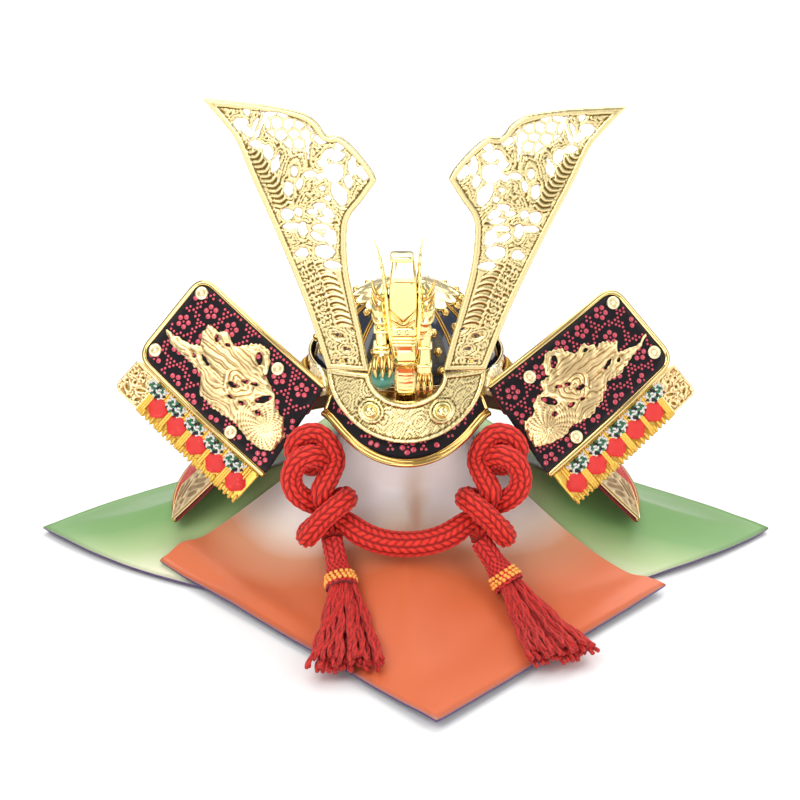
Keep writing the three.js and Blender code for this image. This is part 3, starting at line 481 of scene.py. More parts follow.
# the second colour is painted shade between the braid's lumps
CORD_RED = make_braid_material("red_braid", (0.93, 0.042, 0.024), (0.32, 0.008, 0.005))
ORANGE_SILK = make_silk("orange_silk", [
    (0.0, (1.0, 0.96, 0.94)), (0.24, (0.84, 0.7, 0.58)), (0.42, (0.68, 0.3, 0.16)),
    (0.7, (0.66, 0.16, 0.055)), (1.0, (0.7, 0.15, 0.05)),
])
GREEN_SILK = make_silk("green_silk", [
    (0.0, (0.8, 0.78, 0.6)), (0.3, (0.76, 0.76, 0.52)), (0.55, (0.4, 0.52, 0.24)), (0.8, (0.19, 0.36, 0.12)),
    (1.0, (0.16, 0.33, 0.1)),
])
PURPLE_LINING = make_silk("purple_lining", [(0.0, (0.1, 0.05, 0.16)), (1.0, (0.09, 0.045, 0.15))], 0.2)
LACQUER = make_plain("blue_lacquer", (0.012, 0.02, 0.05), 0.16, coat=0.6)
BOARD = make_plain("post_board", (0.35, 0.31, 0.26), 0.75, depth=0.0001)
JADE = make_plain("jade_glass", (0.02, 0.2, 0.12), 0.08, coat=1.0, depth=0.00001)
LEATHER = make_plain("black_leather", (0.008, 0.005, 0.008), 0.6, grain=1500.0, depth=0.00008, shine=0.2)

chin_cord, cord_path = make_cord()


# Light, floor and view
FLOOR_HALF, FLOOR_DROP = 3.0, 0.0006
AIM = np.array([0, 0, 0.08])
WORLD_LIGHT = 0.42
# name, place in metres, size, power
LAMPS = [
    ("key", (-0.5, -0.5, 0.9), 0.8, 5.6),
    ("fill", (0.8, -0.35, 0.6), 0.7, 3.0),
    ("top", (0.1, 0.5, 1.0), 1.1, 7.0),
    ("back", (0.0, 1.3, 1.3), 1.6, 10.0),
    ("front", (-0.1, -1.0, 0.18), 0.5, 3.0),
]


def make_stage():
    mesh = bpy.data.meshes.new("floor")
    corners = [(a * FLOOR_HALF, b * FLOOR_HALF, 0) for a, b in ((-1, -1), (1, -1), (1, 1), (-1, 1))]
    mesh.from_pydata(corners, [], [(0, 1, 2, 3)])
    material, _, shader = new_material("pale_floor")
    put(shader, Base_Color=(0.93, 0.93, 0.93, 1), Roughness=0.6, Specular_IOR_Level=0.2)
    mesh.materials.append(material)
    floor = bpy.data.objects.new("floor", mesh)
    floor.location.z = -FLOOR_DROP
    bpy.context.scene.collection.objects.link(floor)
    world = bpy.data.worlds.new("world")
    world.use_nodes = True
    background = world.node_tree.nodes["Background"]
    background.inputs[0].default_value = (1.0, 1.0, 1.0, 1)
    background.inputs[1].default_value = WORLD_LIGHT
    bpy.context.scene.world = world
    for name, place, size, power in LAMPS:
        lamp = bpy.data.lights.new(name, "AREA")
        lamp.energy, lamp.size = power, size
        body = bpy.data.objects.new(name, lamp)
        body.location = place
        aim = AIM - np.array(place)
        pitch = math.atan2(math.hypot(aim[0], aim[1]), -aim[2])
        body.rotation_euler = (pitch, 0, math.atan2(aim[1], aim[0]) - math.pi / 2)
        bpy.context.scene.collection.objects.link(body)
    bpy.context.scene.view_settings.view_transform = "Standard"


make_stage()


# Cloths: the same section as the CAD. In each direction the sheet lies on the post's top, falls
# down its side to a shoulder and flares out to the floor.
POST_RADIUS, POST_HEIGHT, POST_ROUND = 24.0, 99.5, 5.0
GREEN_REACH, GREEN_FRONT = 157.0, 130.0
ORANGE = {"back": (0.0, 12.0), "left": (-104.0, -33.0), "front": (11.0, -152.0), "right": (108.0, -52.0)}
CLOTH_TOPS = {"green": 1.65, "orange": 3.3}
CLOTH_WALL = 0.9
SHOULDER_SIDE, SHOULDER_FRONT, SHOULDER_BACK = 45.0, 31.0, 30.0
SHOULDER_BEND, SECTION_BEYOND = 7.0, 40


def shoulder(angle):
    side = np.cos(angle) ** 2
    return SHOULDER_SIDE * side + np.where(np.sin(angle) < 0, SHOULDER_FRONT, SHOULDER_BACK) * (1 - side)


def green_edge(angle):
    side = np.cos(angle) ** 2
    reach = GREEN_REACH * side + np.where(np.sin(angle) < 0, GREEN_FRONT, GREEN_REACH) * (1 - side)
    diamond = reach / (np.abs(np.cos(angle)) + np.abs(np.sin(angle)))
    return diamond * (1 - 0.14 * np.sin(2 * angle) ** 2)


def section_line(angle):
    """Dense (radius, height) points of the section in one direction, with its lengths."""
    edge, rise = float(green_edge(angle)), float(shoulder(angle))
    flare = lambda r: rise * np.maximum(0, 1 - (r - POST_RADIUS) / (edge - POST_RADIUS)) ** 1.5
    turn = np.linspace(0, math.pi / 2, 9)[1:]
    t = np.linspace(0, 1, 14)[1:, None]
    start = np.array([POST_RADIUS, rise + SHOULDER_BEND])
    corner = np.array([POST_RADIUS, rise])
    end = np.array([POST_RADIUS + SHOULDER_BEND, flare(POST_RADIUS + SHOULDER_BEND)])
    bend = (1 - t) ** 2 * start + 2 * t * (1 - t) * corner + t ** 2 * end
    out = np.linspace(POST_RADIUS + SHOULDER_BEND, edge + SECTION_BEYOND, 90)[1:]
    line = np.vstack([
        [[0, POST_HEIGHT], [POST_RADIUS - POST_ROUND, POST_HEIGHT]],
        np.stack([POST_RADIUS - POST_ROUND * (1 - np.sin(turn)),
                  POST_HEIGHT - POST_ROUND * (1 - np.cos(turn))], 1),
        start[None], bend, np.stack([out, flare(out)], 1),
    ])
    return line, run_along(line)


def length_at(line, run, radius):
    """Way along the section to a plan radius; the post's side counts as 1.5 mm of radius."""
    wall = 1.5
    k = int(np.argmax(line[:, 0] >= POST_RADIUS - 1e-9))
    spread = line[:, 0] + np.where(np.arange(len(line)) > k, wall, 0)
    return float(np.interp(radius, spread, run))


def drape_grid(angles, reaches, rows, offset, folds):
    """Grid of cloth points: rows evenly along each direction's section, pushed off the section
    along its normal by offset plus folds(x, y, z), which makes the soft folds."""
    grid = np.zeros((len(angles), rows, 3))
    normals = np.zeros((len(angles), rows, 3))
    step = 1.2
    for i, (angle, reach) in enumerate(zip(angles, reaches)):
        line, run = section_line(angle)
        way = np.linspace(0, 1, rows) * reach
        at = lambda w: np.stack([np.interp(w, run, line[:, 0]), np.interp(w, run, line[:, 1])])
        r, z = at(way)
        dr, dz = at(way + step) - at(way - step)
        size = np.hypot(dr, dz) + 1e-9
        cos, sin = math.cos(angle), math.sin(angle)
        normals[i] = np.stack([-dz / size * cos, -dz / size * sin, dr / size], 1)
        grid[i] = np.stack([r * cos, r * sin, z], 1)
    lift = offset + folds(grid[..., 0], grid[..., 1], grid[..., 2])
    return grid + normals * lift[..., None], normals


def cloth_piece(name, grid, normals, material, node_name, fade_and_shade):
    """Closes a cloth grid with an underside and a hem, which have the lining's colour."""
    under = grid - normals * CLOTH_WALL
    under[..., 2] = np.maximum(under[..., 2], 0.05)
    rows, columns = grid.shape[:2]
    count = rows * columns
    top = grid_faces(rows, columns, close_rows=True)
    low = grid_faces(rows, columns, close_rows=True, start=count)[:, ::-1]
    i = np.arange(rows)
    a, b = i * columns + columns - 1, ((i + 1) % rows) * columns + columns - 1
    hem = np.stack([a, a + count, b + count, b], 1)
    points = np.vstack([grid.reshape(-1, 3), under.reshape(-1, 3)])
    index = np.append(np.zeros(len(top)), np.ones(len(low) + len(hem)))
    return make_piece(name, (points, np.vstack([top, low, hem])), [material, PURPLE_LINING],
                      [node_name], index=index, values={"fade_and_shade": np.tile(fade_and_shade.ravel(), 2)})


def soft_noise(x, y, size, seed):
    """Smooth low waves: a sum of five plane waves of about the given length, in -1 to 1."""
    local = np.random.default_rng(seed)
    total = 0
    for _ in range(5):
        direction, phase = local.uniform(0, TAU, 2)
        length = size * local.uniform(0.75, 1.4)
        total = total + np.sin((x * math.cos(direction) + y * math.sin(direction)) * TAU / length + phase)
    return total / 5


def quad_boundary(count):
    """Directions and section lengths of points spread evenly along the upper cloth's edge."""
    corners = np.array([ORANGE[k] for k in ("back", "left", "front", "right", "back")])
    t = np.linspace(0, 1, 700, endpoint=False)[:, None]
    plan = np.vstack([corners[k] * (1 - t) + corners[k + 1] * t for k in range(4)])
    angles = np.arctan2(plan[:, 1], plan[:, 0])
    radius = np.hypot(plan[:, 0], plan[:, 1])
    reaches, spots = [], []
    for angle, r in zip(angles, radius):
        line, run = section_line(angle)
        reach = length_at(line, run, r)
        reaches.append(reach)
        rr, z = np.interp(reach, run, line[:, 0]), np.interp(reach, run, line[:, 1])
        spots.append((rr * math.cos(angle), rr * math.sin(angle), z))
    run = run_along(np.array(spots + spots[:1]))
    even = np.linspace(0, run[-1], count, endpoint=False)
    turned = np.unwrap(np.append(angles, angles[0]))
    return np.interp(even, run, turned), np.interp(even, run, reaches + reaches[:1])


def edge_distance(x, y, a, b):
    """Distance inwards from the line a to b, in the plan."""
    ax, ay = a
    bx, by = b
    return ((bx - ax) * (y - ay) - (by - ay) * (x - ax)) / math.hypot(bx - ax, by - ay)


def make_orange():
    angles, reaches = quad_boundary(240)

    def folds(x, y, z):
        """Lips beside the front edges, flutes down the front, creases and a ridge to the corner."""
        left = edge_distance(x, y, ORANGE["left"], ORANGE["front"])
        right = edge_distance(x, y, ORANGE["front"], ORANGE["right"])
        free = np.clip((np.hypot(x, y) - 55) / 40, 0, 1)
        lip = 3.0 * bell(left - 12, 5.5) * np.clip((-55 - x) / 25 + 1, 0, 1) * free
        lip = lip + 1.4 * bell(right - 10, 6) * np.clip((x - 62) / 20, 0, 1)
        flute = bell(z - 50, 24) * bell(x - 2, 26) * (y < 0)
        flutes = flute * (2.8 * bell(x + 10, 8) + 2.4 * bell(x - 15, 7) - 1.6 * bell(x - 4, 3.2))
        creases = 0.55 * soft_noise(x, y, 46, 3) * free + 0.18 * soft_noise(x, y, 15, 4) * free
        ridge = 0.8 * bell(x - 9 - 0.02 * y, 9) * np.clip((-y - 70) / 30, 0, 1)
        return lip + flutes + np.maximum(creases + ridge, -0.5)

    grid, normals = drape_grid(angles, reaches, 48, CLOTH_TOPS["orange"], folds)
    x, y, z = np.moveaxis(grid, -1, 0)
    radius = np.hypot(x, y)
    side = (x / np.maximum(radius, 1)) ** 2
    fade_and_shade = (radius - 29 - 24 * side) / (48 + 16 * side) - np.clip(z - 45, 0, 30) / 60
    # painted shade: the front fold's valley below the visor is tinted tan
    valley_shade = bell(x - 4, 5.2) * bell(z - 24, 20) * (y < 0)
    fade_and_shade = np.clip(np.maximum(fade_and_shade, 0.33 * valley_shade), 0, 1)
    return cloth_piece("orange_cloth", grid, normals, ORANGE_SILK, "cloth_orange", fade_and_shade)


def make_green():
    angles = full_turn(220)
    reaches = [length_at(*section_line(angle), float(green_edge(angle)) + 1.5) for angle in angles]
    round_edge = ("back", "left", "front", "right", "back")

    def folds(x, y, z):
        """Soft waves where the upper cloth doesn't lie on this one."""
        inside = np.minimum.reduce([edge_distance(x, y, ORANGE[a], ORANGE[b])
                                    for a, b in zip(round_edge, round_edge[1:])])
        free = np.clip(-inside / 12, 0, 1) * np.clip((np.hypot(x, y) - 40) / 30, 0, 1)
        return free * (0.9 * soft_noise(x, y, 60, 11) + 0.3 * soft_noise(x, y, 20, 12) + 0.6)

    grid, normals = drape_grid(angles, reaches, 44, CLOTH_TOPS["green"], folds)
    x, y = grid[..., 0], grid[..., 1]
    ridge = np.where(x > 0, -12 * x / 155, 2 * np.abs(x) / 158)
    fade_and_shade = np.where(y < ridge, 0.95 + (y - ridge) / 62, 0.95 - (y - ridge) / 300)
    fade_and_shade = np.clip(fade_and_shade * np.clip((np.hypot(x, y) - 22) / 50, 0, 1), 0, 1)
    return cloth_piece("green_cloth", grid, normals, GREEN_SILK, "cloth_green", fade_and_shade)


orange_cloth = make_orange()
green_cloth = make_green()


# Flat work: a plate is a field on a fine grid, positive inside the metal, with a front relief
# tone of chased plates: painted shade in grooves, painted highlight on ridges
EVEN_TONE, TONE_CONTRAST = 0.6, 6


def distance_polygon(x, y, corners):
    """Signed distance to a closed polygon, positive inside."""
    a = np.asarray(corners, dtype=float)
    b = np.roll(a, -1, axis=0)
    best = np.full(x.shape, 1e9)
    inside = np.zeros(x.shape, dtype=bool)
    for (ax, ay), (bx, by) in zip(a, b):
        ex, ey = bx - ax, by - ay
        px, py = x - ax, y - ay
        t = np.clip((px * ex + py * ey) / (ex * ex + ey * ey + 1e-12), 0, 1)
        best = np.minimum(best, np.hypot(px - ex * t, py - ey * t))
        crossing = ((ay > y) != (by > y)) & (px < ex * py / (ey if abs(ey) > 1e-12 else 1e-12))
        inside ^= crossing
    return np.where(inside, best, -best)


def distance_blobs(x, y, blobs):
    """Least distance outside ellipses (x, y, half width, half height, turn in degrees)."""
    best = np.full(x.shape, 1e9)
    for cx, cy, a, b, turn in blobs:
        c, s = math.cos(math.radians(turn)), math.sin(math.radians(turn))
        u, v = (x - cx) * c + (y - cy) * s, -(x - cx) * s + (y - cy) * c
        best = np.minimum(best, (np.sqrt((u / a) ** 2 + (v / b) ** 2) - 1) * min(a, b))
    return best


def distance_line(x, y, points):
    """Distance to an open polyline, and the way along it of the nearest point."""
    p = np.asarray(points, dtype=float)
    best, way, run = np.full(x.shape, 1e9), np.zeros(x.shape), 0.0
    for (ax, ay), (bx, by) in zip(p[:-1], p[1:]):
        ex, ey = bx - ax, by - ay
        size = math.hypot(ex, ey)
        t = np.clip(((x - ax) * ex + (y - ay) * ey) / size ** 2, 0, 1)
        d = np.hypot(x - ax - ex * t, y - ay - ey * t)
        way = np.where(d < best, run + t * size, way)
        best = np.minimum(best, d)
        run += size
    return best, way


def two_nearest(x, y, seeds):
    """Distances to the nearest and second nearest seed."""
    first = np.full(x.shape, 1e9)
    second = np.full(x.shape, 1e9)
    for sx, sy in seeds:
        d = np.hypot(x - sx, y - sy)
        second = np.minimum(second, np.maximum(first, d))
        first = np.minimum(first, d)
    return first, second


def plan_grid(low, high, step, squeeze=1.0):
    """Plan points of a grid; squeeze is the rows' spacing as a share of the columns' one."""
    return np.meshgrid(np.arange(low[0], high[0], step), np.arange(low[1], high[1], step * squeeze))


def kept_cells(field):
    """Cells of the grid that the plate keeps, padded by one row and column all round; the corners
    that touch a kept cell; and the corners that touch only kept cells."""
    pad = np.pad((field[:-1, :-1] + field[1:, :-1] + field[:-1, 1:] + field[1:, 1:]) > 0, 1)
    corners = [pad[:-1, :-1], pad[1:, :-1], pad[:-1, 1:], pad[1:, 1:]]
    return pad, np.logical_or.reduce(corners), np.logical_and.reduce(corners)


def plate(field, x, y, relief, thickness, place):
    """Closed plate where field > 0. Cells whose middle is inside are kept, and the corners on
    their border slide along the field's slope onto its zero line. The front stands relief over
    the middle plane, the back lies thickness behind; place(x, y, height) gives the space point.
    Also gives a tone per point for the chased metals: painted shade, less in grooves, and painted highlight,
    more on ridges; the back gets an even tone."""
    xs, ys = x[0], y[:, 0]
    gy, gx = np.gradient(field, ys, xs)
    slope = gx ** 2 + gy ** 2 + 1e-6
    pad, used, within = kept_cells(field)
    keep, border = pad[1:-1, 1:-1], used & ~within
    reach = 0.7 * (xs[1] - xs[0])
    shift = np.clip(-field / np.sqrt(slope), -reach, reach)
    x = np.where(border, x + shift * gx / np.sqrt(slope), x)
    y = np.where(border, y + shift * gy / np.sqrt(slope), y)
    number = np.cumsum(used.ravel()).reshape(used.shape) - 1
    count = int(used.sum())
    front = place(x[used], y[used], relief[used])
    back = place(x[used], y[used], np.full(count, -thickness))
    a, b = number[:-1, :-1][keep], number[:-1, 1:][keep]
    c, d = number[1:, 1:][keep], number[1:, :-1][keep]
    faces = [np.stack([a, b, c, d], 1), np.stack([a, d, c, b], 1) + count]
    walls = (
        (pad[:-2, 1:-1], number[:-1, :-1], number[:-1, 1:]),
        (pad[2:, 1:-1], number[1:, 1:], number[1:, :-1]),
        (pad[1:-1, :-2], number[1:, :-1], number[:-1, :-1]),
        (pad[1:-1, 2:], number[:-1, 1:], number[1:, 1:]),
    )
    for beside, one, two in walls:
        edge = keep & ~beside
        p, q = one[edge], two[edge]
        faces.append(np.stack([q, p, p + count, q + count], 1))
    wide = np.pad(relief, 2, mode="edge")
    rows, columns = relief.shape
    mean = sum(wide[i:i + rows, j:j + columns] for i in (0, 2, 4) for j in (0, 2, 4)) / 9
    # painted shade below the local mean relief, painted highlight above it
    tone = np.clip(EVEN_TONE + (relief - mean) * TONE_CONTRAST, 0, 1)[used]
    return np.vstack([front, back]), np.vstack(faces), np.append(tone, np.full(count, EVEN_TONE))


# Bodies that the pieces share, as in the CAD
BOWL_RADIUS, BOWL_BASE, BOWL_RISE, BOWL_BACK = 39.0, 78.0, 37.0, 2.0
SIDES = {"left": -1, "right": 1}
BAND_GAP, BAND_WALL = 0.5, 1.2
BAND_OUTER = BOWL_RADIUS + BAND_GAP + BAND_WALL
BASE_HALF, BASE_RISE, BASE_INNER, BASE_WALL = 31.5, 28.0, 14.5, 1.8
BASE_LEAN, BASE_CURVE = 0.12, 140.0
BASE_BOTTOM = BOWL_BASE - 9.6
BASE_TOP = BASE_BOTTOM + BASE_RISE
BASE_INNER_BOTTOM = BASE_BOTTOM + 16.6
BOSS_OUT, BOSS_UP = 14.04, 13
RING_OUT, RING_RADIUS = 14.0, 4.6  # raised ring round each boss
BASE_FRONT = -(BOWL_RADIUS + 13.4)


def about(radius, angle, z):
    """Points round the bowl's upright axis."""
    return np.stack([radius * np.cos(angle), BOWL_BACK + radius * np.sin(angle), z], -1)


def base_face(x, z):
    return BASE_FRONT + BASE_LEAN * (z - BASE_BOTTOM) + x * x / BASE_CURVE


# Horns
HORN_HEIGHT, HORN_REACH, HORN_WALL, HORN_ROLL = 108.0, 78.8, 1.4, math.radians(1.6)
HORN_BORDER = 2.3
HORN_SWEEP, HORN_LEAN = 0.1, 0.035
# outline: shares of the reach and the height
HORN_OUTER = [
    (0.397, 0), (0.505, 0.25), (0.642, 0.505), (0.769, 0.722), (0.838, 0.85), (0.907, 0.921), (1, 1),
]
HORN_TOP = [
    (0.72, 0.99), (0.54, 0.97), (0.46, 0.937), (0.414, 0.893), (0.35, 0.89), (0.28, 0.85), (0.2, 0.78),
    (0.171, 0.74),
]
HORN_INNER = [
    (0.24, 0.66), (0.295, 0.6), (0.31, 0.53), (0.3, 0.4), (0.265, 0.27), (0.22, 0.13), (0.184, 0),
]
# openings: middle across and up in mm, half sizes in mm, turn in degrees
HORN_HOLES = [
    (64.9, 99.1, 2.9, 1.9, -20), (62.1, 96.3, 1.5, 2.0, 0), (58.8, 91.4, 2.3, 1.5, 10),
    (62.4, 104.0, 1.0, 1.6, -10), (59.3, 98.8, 0.55, 6.6, 22), (56.6, 99.6, 0.5, 5.8, 22),
    (54.4, 88.4, 1.8, 2.6, 0), (51.5, 83.6, 1.3, 3.7, 15), (46.6, 74.5, 1.5, 2.8, 0),
    (44.7, 81.5, 1.1, 2.2, 10), (42.5, 76.3, 0.8, 2.9, 15), (39.1, 80.6, 2.5, 1.2, -20),
    (33.9, 85.4, 1.8, 1.5, 0), (32.3, 89.0, 1.3, 3.1, 40), (28.3, 88.1, 2.8, 1.7, -35),
    (34.9, 94.6, 2.0, 1.9, 0), (27.7, 92.1, 2.1, 1.5, -25), (21.8, 88.6, 1.1, 1.0, 0),
    (18.6, 82.9, 2.2, 3.2, 0), (22.9, 84.4, 1.5, 2.6, 0), (29.8, 81.9, 3.4, 3.5, 0),
    (34.7, 79.9, 1.3, 1.4, 0), (24.1, 79.0, 1.3, 2.6, 0), (27.4, 73.5, 2.6, 4.2, -25),
    (34.0, 75.3, 0.9, 0.8, 0), (31.6, 71.6, 1.1, 1.0, 0), (34.6, 68.0, 2.0, 1.4, 0),
    (31.6, 65.4, 2.7, 1.5, 35), (37.7, 65.5, 2.2, 1.0, 0), (47.1, 64.1, 2.3, 2.2, 0),
    (42.9, 65.0, 1.5, 1.5, 0), (32.6, 62.6, 3.0, 1.0, 10), (45.3, 59.4, 3.2, 1.2, -5),
    (41.0, 58.2, 1.5, 2.4, 0), (34.4, 59.5, 3.0, 1.1, 0), (30.4, 55.6, 2.2, 3.2, -10),
    (35.3, 55.5, 2.4, 1.4, 30), (32.6, 49.6, 3.3, 2.8, 0), (41.2, 48.6, 2.7, 1.6, -12),
    (29.6, 44.2, 2.8, 1.7, -5), (39.7, 92.0, 0.6, 4.8, -4), (26.7, 14.6, 1.5, 0.9, 20),
    (23.6, 9.2, 1.1, 0.7, 0), (25.6, 3.6, 1.9, 0.9, 0), (21.0, 17.5, 0.9, 0.6, 30),
]
# in mm: a net of wires, a scaled backbone and a spine with loops beside it
HORN_NET = [
    (57.0, 104.8), (50.4, 105.0), (43.0, 102.6), (37.6, 98.9), (36.4, 96.8), (38.0, 92.6), (40.4, 88.8),
    (45.4, 88.7), (49.7, 92.4), (52.9, 94.2), (55.2, 96.0), (56.6, 101.0),
]
HORN_BACKBONE = [(61.5, 90.5), (57.2, 83.7), (52.9, 76.7), (50.3, 70.8), (48.9, 66.5)]
FINE_STEP = 0.36
HORN_SPINE = [(37.0, 45.5), (33.0, 35.5), (30.4, 27.0), (27.8, 19.0)]


def horn_outline():
    sides = [smooth_rows(rows, 8 * len(rows)) for rows in (HORN_OUTER, HORN_TOP, HORN_INNER)]
    return np.vstack(sides) * [HORN_REACH, HORN_HEIGHT]


def make_horn_plate():
    x, y = plan_grid((12.0, -0.6), (80.2, 109.2), FINE_STEP)
    outline = distance_polygon(x, y, horn_outline())
    wide = [(cx, cy, a * 1.1 + 0.1, b * 1.1 + 0.1, turn) for cx, cy, a, b, turn in HORN_HOLES]
    holes = distance_blobs(x, y, wide)
    wobble = 0.55 * soft_noise(x, y, 4.0, 21) + 0.25 * soft_noise(x, y, 2.2, 22)
    net = distance_polygon(x, y, HORN_NET)
    local = np.random.default_rng(5)
    seeds = [(sx + local.uniform(-0.8, 0.8), sy + local.uniform(-0.8, 0.8))
             for k, sy in enumerate(np.arange(88, 108, 3.9)) for sx in np.arange(36 + 2.2 * (k % 2), 60, 4.4)]
    first, second = two_nearest(x, y, seeds)
    wires = 0.34 - (second - first) / 2
    field = np.minimum(outline, np.maximum(holes + wobble, HORN_BORDER - outline))
    field = np.where(net > 0, np.minimum(field, np.maximum(wires, 0.5 - net)), field)
    border = smooth_step(2.5, 2.1, outline)
    inner_rim = smooth_step(0.0, 0.5, np.minimum(field, 1.0))
    curls = np.sin((np.minimum(holes, 2.6) + 0.7 * soft_noise(x, y, 7, 31)) * TAU / 0.95)
    curls = curls * (0.6 + 0.4 * soft_noise(x, y, 5, 32))
    relief = 0.16 + 0.15 * curls + 0.07 * np.sin(soft_noise(x, y, 3.2, 33) * 9)
    spine = np.array(HORN_SPINE)[::-1]
    inward = np.interp(y, spine[:, 1], spine[:, 0]) - x
    here = smooth_step(47, 44, y) * smooth_step(17.5, 20, y)  # the spine's part
    bow = (y + 0.1 * (inward - 3.4) ** 2) * TAU / 2.7
    loops = 0.16 * np.cos(bow) + 0.08 * np.cos(2 * bow + 1)
    grain = 0.13 * np.sin(soft_noise(x, y, 2.6, 34) * 8) + 0.1 * np.cos((y - 0.5 * inward) * TAU / 2.1)
    ribs = np.where(inward > 0, np.where(inward < 6.6, loops, 0.0), grain) + 0.2 * bell(inward, 0.45)
    relief = relief * (1 - here) + (0.2 + ribs) * here
    back, along = distance_line(x, y, HORN_BACKBONE)
    body = smooth_step(3.0, 2.4, back)
    scales = 0.3 + 0.2 * np.cos((along + 0.25 * back ** 1.5) * TAU / 2.2) - 0.02 * back ** 2
    relief = relief * (1 - body) + scales * body
    relief = np.where(net > 0, 0.05, relief)
    relief = relief * (1 - border) + 0.34 * border
    relief = (relief - 0.2 * bell(outline - 2.45, 0.22)) * inner_rim - 0.1 * (1 - inner_rim)
    shade = np.where(outline < HORN_BORDER, 0.72, 1.0)[kept_cells(field)[1]]
    return field, x, y, relief, shade


horn_plate = make_horn_plate()


def make_horn(label, side):
    foot = (BASE_INNER + BASE_HALF) / 2
    foot_y = base_face(foot, BASE_TOP) + (BASE_WALL - HORN_WALL) / 2
    edge = HORN_INNER[-1][0] if side < 0 else -HORN_OUTER[0][0]
    foot_z = BASE_TOP + GAP - edge * HORN_REACH * math.sin(HORN_ROLL)
    cos, sin = math.cos(HORN_ROLL), math.sin(HORN_ROLL)

    def place(px, pz, height):
        x, y = side * px, foot_y - height + HORN_SWEEP * (px - foot) - HORN_LEAN * pz
        return np.stack([x * cos + pz * sin, y, foot_z + pz * cos - x * sin], 1)

    field, x, y, relief, shade = horn_plate
    points, faces, tone = plate(field, x, y, relief, HORN_WALL - 0.2, place)
    tone[:len(shade)] *= shade
    make_piece(f"pierced_horn_{label}", (points, faces if side > 0 else faces[:, ::-1]), [CHASED_GOLD],
               [f"horn_{label}"], values={"tone": tone})


for label, side in SIDES.items():
    make_horn(label, side)


def make_base():
    x, y = plan_grid((-32.5, BASE_BOTTOM - 0.8), (32.6, BASE_TOP + 0.8), FINE_STEP)
    t = np.linspace(math.pi, TAU, 60)
    arc = lambda half, depth: np.stack([half * np.cos(t), BASE_TOP + depth * np.sin(t)], 1)
    inner = arc(BASE_INNER, BASE_TOP - BASE_INNER_BOTTOM)[::-1]
    field = distance_polygon(x, y, np.vstack([arc(BASE_HALF, BASE_RISE), inner]))
    rim = smooth_step(1.9, 1.5, field) * smooth_step(0.0, 0.45, field)
    curls = np.sin(soft_noise(x, y, 8, 41) * 10 + field * 1.3)
    pearls = np.cos(x * TAU / 1.2 + np.sin(y * 2.3)) * np.cos(y * TAU / 1.2 + np.sin(x * 2.1))
    boss = np.hypot(np.abs(x) - RING_OUT, y - BASE_BOTTOM - BOSS_UP)
    ring = 0.4 * bell(boss - RING_RADIUS, 0.5)
    relief = 0.05 + 0.1 * smooth_step(0.1, 0.8, curls) + 0.1 * pearls + 0.42 * rim + ring
    relief = relief * np.clip(field / 0.3, 0, 1)
    place = lambda px, pz, height: np.stack([px, base_face(px, pz) - height, pz], 1)
    points, faces, tone = plate(field, x, y, relief, BASE_WALL - 0.1, place)
    make_piece("chased_base", (points, faces), [CHASED_GOLD], ["horn_base"], values={"tone": tone})


make_base()


# Turned-back panels: the same curved fields as the CAD
GUARD_ROWS = [(0.0, 0.0), (0.17, 0.12), (0.34, 0.27), (0.51, 0.45), (0.67, 0.63), (1.0, 1.0)]
GUARD_WRAPS = [36.0, 34.0, 30.5, 28.0, 24.0, 13.0]
GUARD_TOP, GUARD_DEPTH, GUARD_FLARE, GUARD_WALL = BOWL_BASE + 0.8, 63.0, 58.0, 1.4
GUARD_INNER = BAND_OUTER + GAP
LAME_STEP = (GUARD_WALL + GAP) * 0.75
FOLD_GAP, FOLD_WRAPS = 0.9, {0: 37.0, 3: 33.0}
PANEL_LENGTH, PANEL_WALL, PANEL_BULGE, PANEL_CORNER, RIM_RADIUS = 66.0, 2.0, 3.0, 6.0, 1.25
PANEL_OUT = {
    "left": (-1, (0.75, 0.379, 0.568), (0.773, 0.424, 0.606)),
    "right": (1, (0.765, 0.379, 0.5), (0.773, 0.424, 0.579)),
}
STRIP_WIDTH, STRIP_WALL = 15.0, 1.4


def guard_edge(row, lame):
    drop, flare = GUARD_ROWS[row]
    step = LAME_STEP if row == lame and lame > 0 else 0.0
    return GUARD_INNER + GUARD_FLARE * flare + step, GUARD_TOP - GUARD_DEPTH * drop + step


def fold_point(side, row):
    radius, height = guard_edge(row, row - 1)
    angle = -math.radians(FOLD_WRAPS[row])
    return np.array([side * (radius * math.cos(angle) + FOLD_GAP),
                     BOWL_BACK + radius * math.sin(angle) - FOLD_GAP, height])


class Field:
    """A curved four-sided face: along runs from the fold outwards, down across it."""

    def __init__(self, fold_top, fold_bottom, out_top, out_bottom, bulge):
        self.along = unit(out_top - fold_top + out_bottom - fold_bottom)
        across = fold_bottom - fold_top + out_bottom - out_top
        normal = unit(np.cross(self.along, across))
        self.normal = -normal if normal[1] > 0 else normal
        self.down = unit(across - self.along * np.dot(across, self.along))
        self.origin, self.bulge = fold_top, bulge
        flat = lambda p: np.array([np.dot(p - fold_top, self.along), np.dot(p - fold_top, self.down)])
        self.corners = [flat(p) for p in (fold_top, out_top, out_bottom, fold_bottom)]
        self.length = self.corners[1][0]

    def at(self, s, t, off):
        s, t, off = (np.asarray(v, dtype=float)[..., None] for v in (s, t, off))
        return (self.origin + self.along * s + self.down * t
                + self.normal * (self.bulge * np.sin(math.pi * s / self.length) + off))

    def share(self, u, v):
        a, b, c, d = self.corners
        top, low = a + (b - a) * u, d + (c - d) * u
        return top + (low - top) * v


def panel_field(label):
    side, top_out, bottom_out = PANEL_OUT[label]
    out = lambda o: np.array([side * o[0], o[1], o[2]]) * PANEL_LENGTH
    top, bottom = fold_point(side, 0), fold_point(side, 3)
    return Field(top, bottom, top + out(top_out), bottom + out(bottom_out), PANEL_BULGE)


